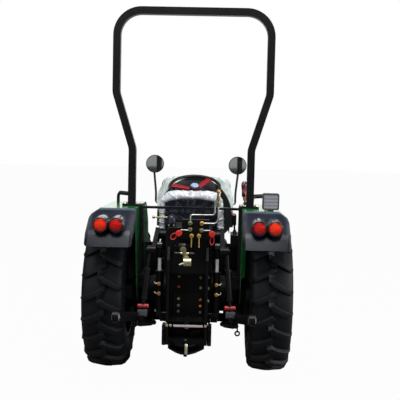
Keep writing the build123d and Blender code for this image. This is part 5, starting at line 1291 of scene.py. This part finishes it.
FILLER_SHAPE = [(0.0, 0.024), (0.3, 0.024), (0.34, 0.031), (0.9, 0.031), (1.0, 0.026)]
cover_parts = [block("rocker", bay(-0.085, -0.360, -0.006), bay(0.085, -0.030, 0.062), 0.012, None, casting)]
for ahead in (-0.335 + index * 0.046 for index in range(7)):
    cover_parts.append(block("rib", bay(-0.074, ahead, 0.055), bay(0.074, ahead + 0.010, 0.069), 0.003, None,
                             casting))
cover_parts.append(collar("cap", bay(0.030, -0.305, 0.060), bay(0.030, -0.305, 0.092), FILLER_SHAPE, None,
                          black_plastic))
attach(joined("rocker_cover", cover_parts), "chassis")
INTAKE_LINE = [(0.135, -0.350, 0.030), (0.135, -0.020, 0.030), (0.175, 0.150, 0.070), (0.150, 0.320, 0.070),
               (0.110, 0.320, 0.070)]
pipe("intake_pipe", [bay(*point) for point in INTAKE_LINE], 0.025, 0.05, "chassis", soft_grip, 6)
for ahead in (-0.320, -0.210, -0.100):
    pipe("intake_runner", [bay(0.135, ahead, 0.030), bay(0.080, ahead, 0.026)], 0.020, 0.02, "chassis",
         casting, 5)
CLEANER_SHAPE = [(0.0, 0.050), (0.03, 0.062), (0.05, 0.072), (0.30, 0.072), (0.31, 0.066), (0.33, 0.066),
                 (0.34, 0.074), (0.36, 0.074), (0.37, 0.070), (0.90, 0.070), (0.96, 0.055), (1.0, 0.035)]
collar("air_cleaner", bay(-0.170, 0.320, 0.070), bay(0.115, 0.320, 0.070), CLEANER_SHAPE, "chassis", powder,
       40)
block("air_cleaner_shelf", bay(-0.172, 0.300, -0.014), bay(0.172, 0.340, -0.002), 0.003, "chassis", powder)
for x in (-0.158, 0.158):
    foot = Vector((x - 0.012, ENGINE_FRONT + 0.305, BAY_FLOOR - 0.004))
    block("air_cleaner_post", foot, bay(x + 0.012, 0.335, -0.008), 0.003, "chassis", powder)
FAN_MIDDLE = bay(0, 0.055, -0.230)
# radius and turn of the four corners of a blade
BLADE = [(0.040, -13), (0.155, -17), (0.160, 9), (0.044, 6)]
FAN_HUB = [(0.0, 0.018), (0.30, 0.018), (0.31, 0.046), (0.42, 0.046), (0.45, 0.038), (0.49, 0.038),
           (0.52, 0.046), (0.62, 0.046), (0.63, 0.032), (0.95, 0.032), (1.0, 0.024)]
blades = [(radius, math.radians(index * 360 / 7 + turn)) for index in range(7) for radius, turn in BLADE]
fan = outline("cooling_fan", [FAN_MIDDLE + Vector((radius * math.cos(angle), 0, radius * math.sin(angle)))
                              for radius, angle in blades], closed=True)
extruded(0, 0.010, 0)
bpy.ops.object.mode_set(mode="OBJECT")
coat(finished(fan, rounded(0.002, 1)), black_plastic)
fan_hub = collar("fan_hub", bay(0, -0.001, -0.230), bay(0, 0.077, -0.230), FAN_HUB, None, steel)
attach(joined("fan", [fan, fan_hub]), "chassis")
ALTERNATOR_SHAPE = [(0.0, 0.030), (0.05, 0.034), (0.06, 0.030), (0.20, 0.030), (0.22, 0.046), (0.40, 0.050),
                    (0.44, 0.047), (0.74, 0.047), (0.78, 0.050), (0.96, 0.046), (1.0, 0.034)]
collar("alternator", bay(-0.222, -0.002, -0.250), bay(-0.222, 0.119, -0.250), ALTERNATOR_SHAPE, "chassis",
       steel, 36)
block("battery", Vector((-0.185, ENGINE_FRONT + 0.200, BAY_FLOOR - 0.002)),
      Vector((-0.060, ENGINE_FRONT + 0.290, BAY_FLOOR + 0.170)), 0.006, "chassis", black_plastic)
for x in (-0.160, -0.085):
    post = Vector((x, ENGINE_FRONT + 0.245, BAY_FLOOR + 0.166))
    collar("battery_post", post, post + Vector((0, 0, 0.022)),
           [(0.0, 0.0100), (0.5, 0.0095), (0.55, 0.0080), (1.0, 0.0075)], "chassis", steel, 20)
low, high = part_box("radiator")
hose_line = [bay(0.060, -0.004, -0.040), bay(0.060, 0.080, -0.030), bay(0.060, 0.200, -0.040),
             (0.130, low.y - 0.060, high.z - 0.060), (0.130, low.y + 0.004, high.z - 0.060)]
pipe("radiator_hose", hose_line, 0.021, 0.035, "chassis", soft_grip, 6)
core = plastic("radiator_core", (0.010, 0.011, 0.012), (0.020, 0.021, 0.023), 200, 0.4)
core.bump((core.along("Z") * 900.0).sine(), 0.004, 0.7)
coat_nodes(core, "radiator")

# ---------------------------------------------------------------- the boxes and the end
for model in (bolt, dark_bolt, orange_bolt, red_bolt, green_bolt, dull_bolt):
    bpy.data.objects.remove(model)
low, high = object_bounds()
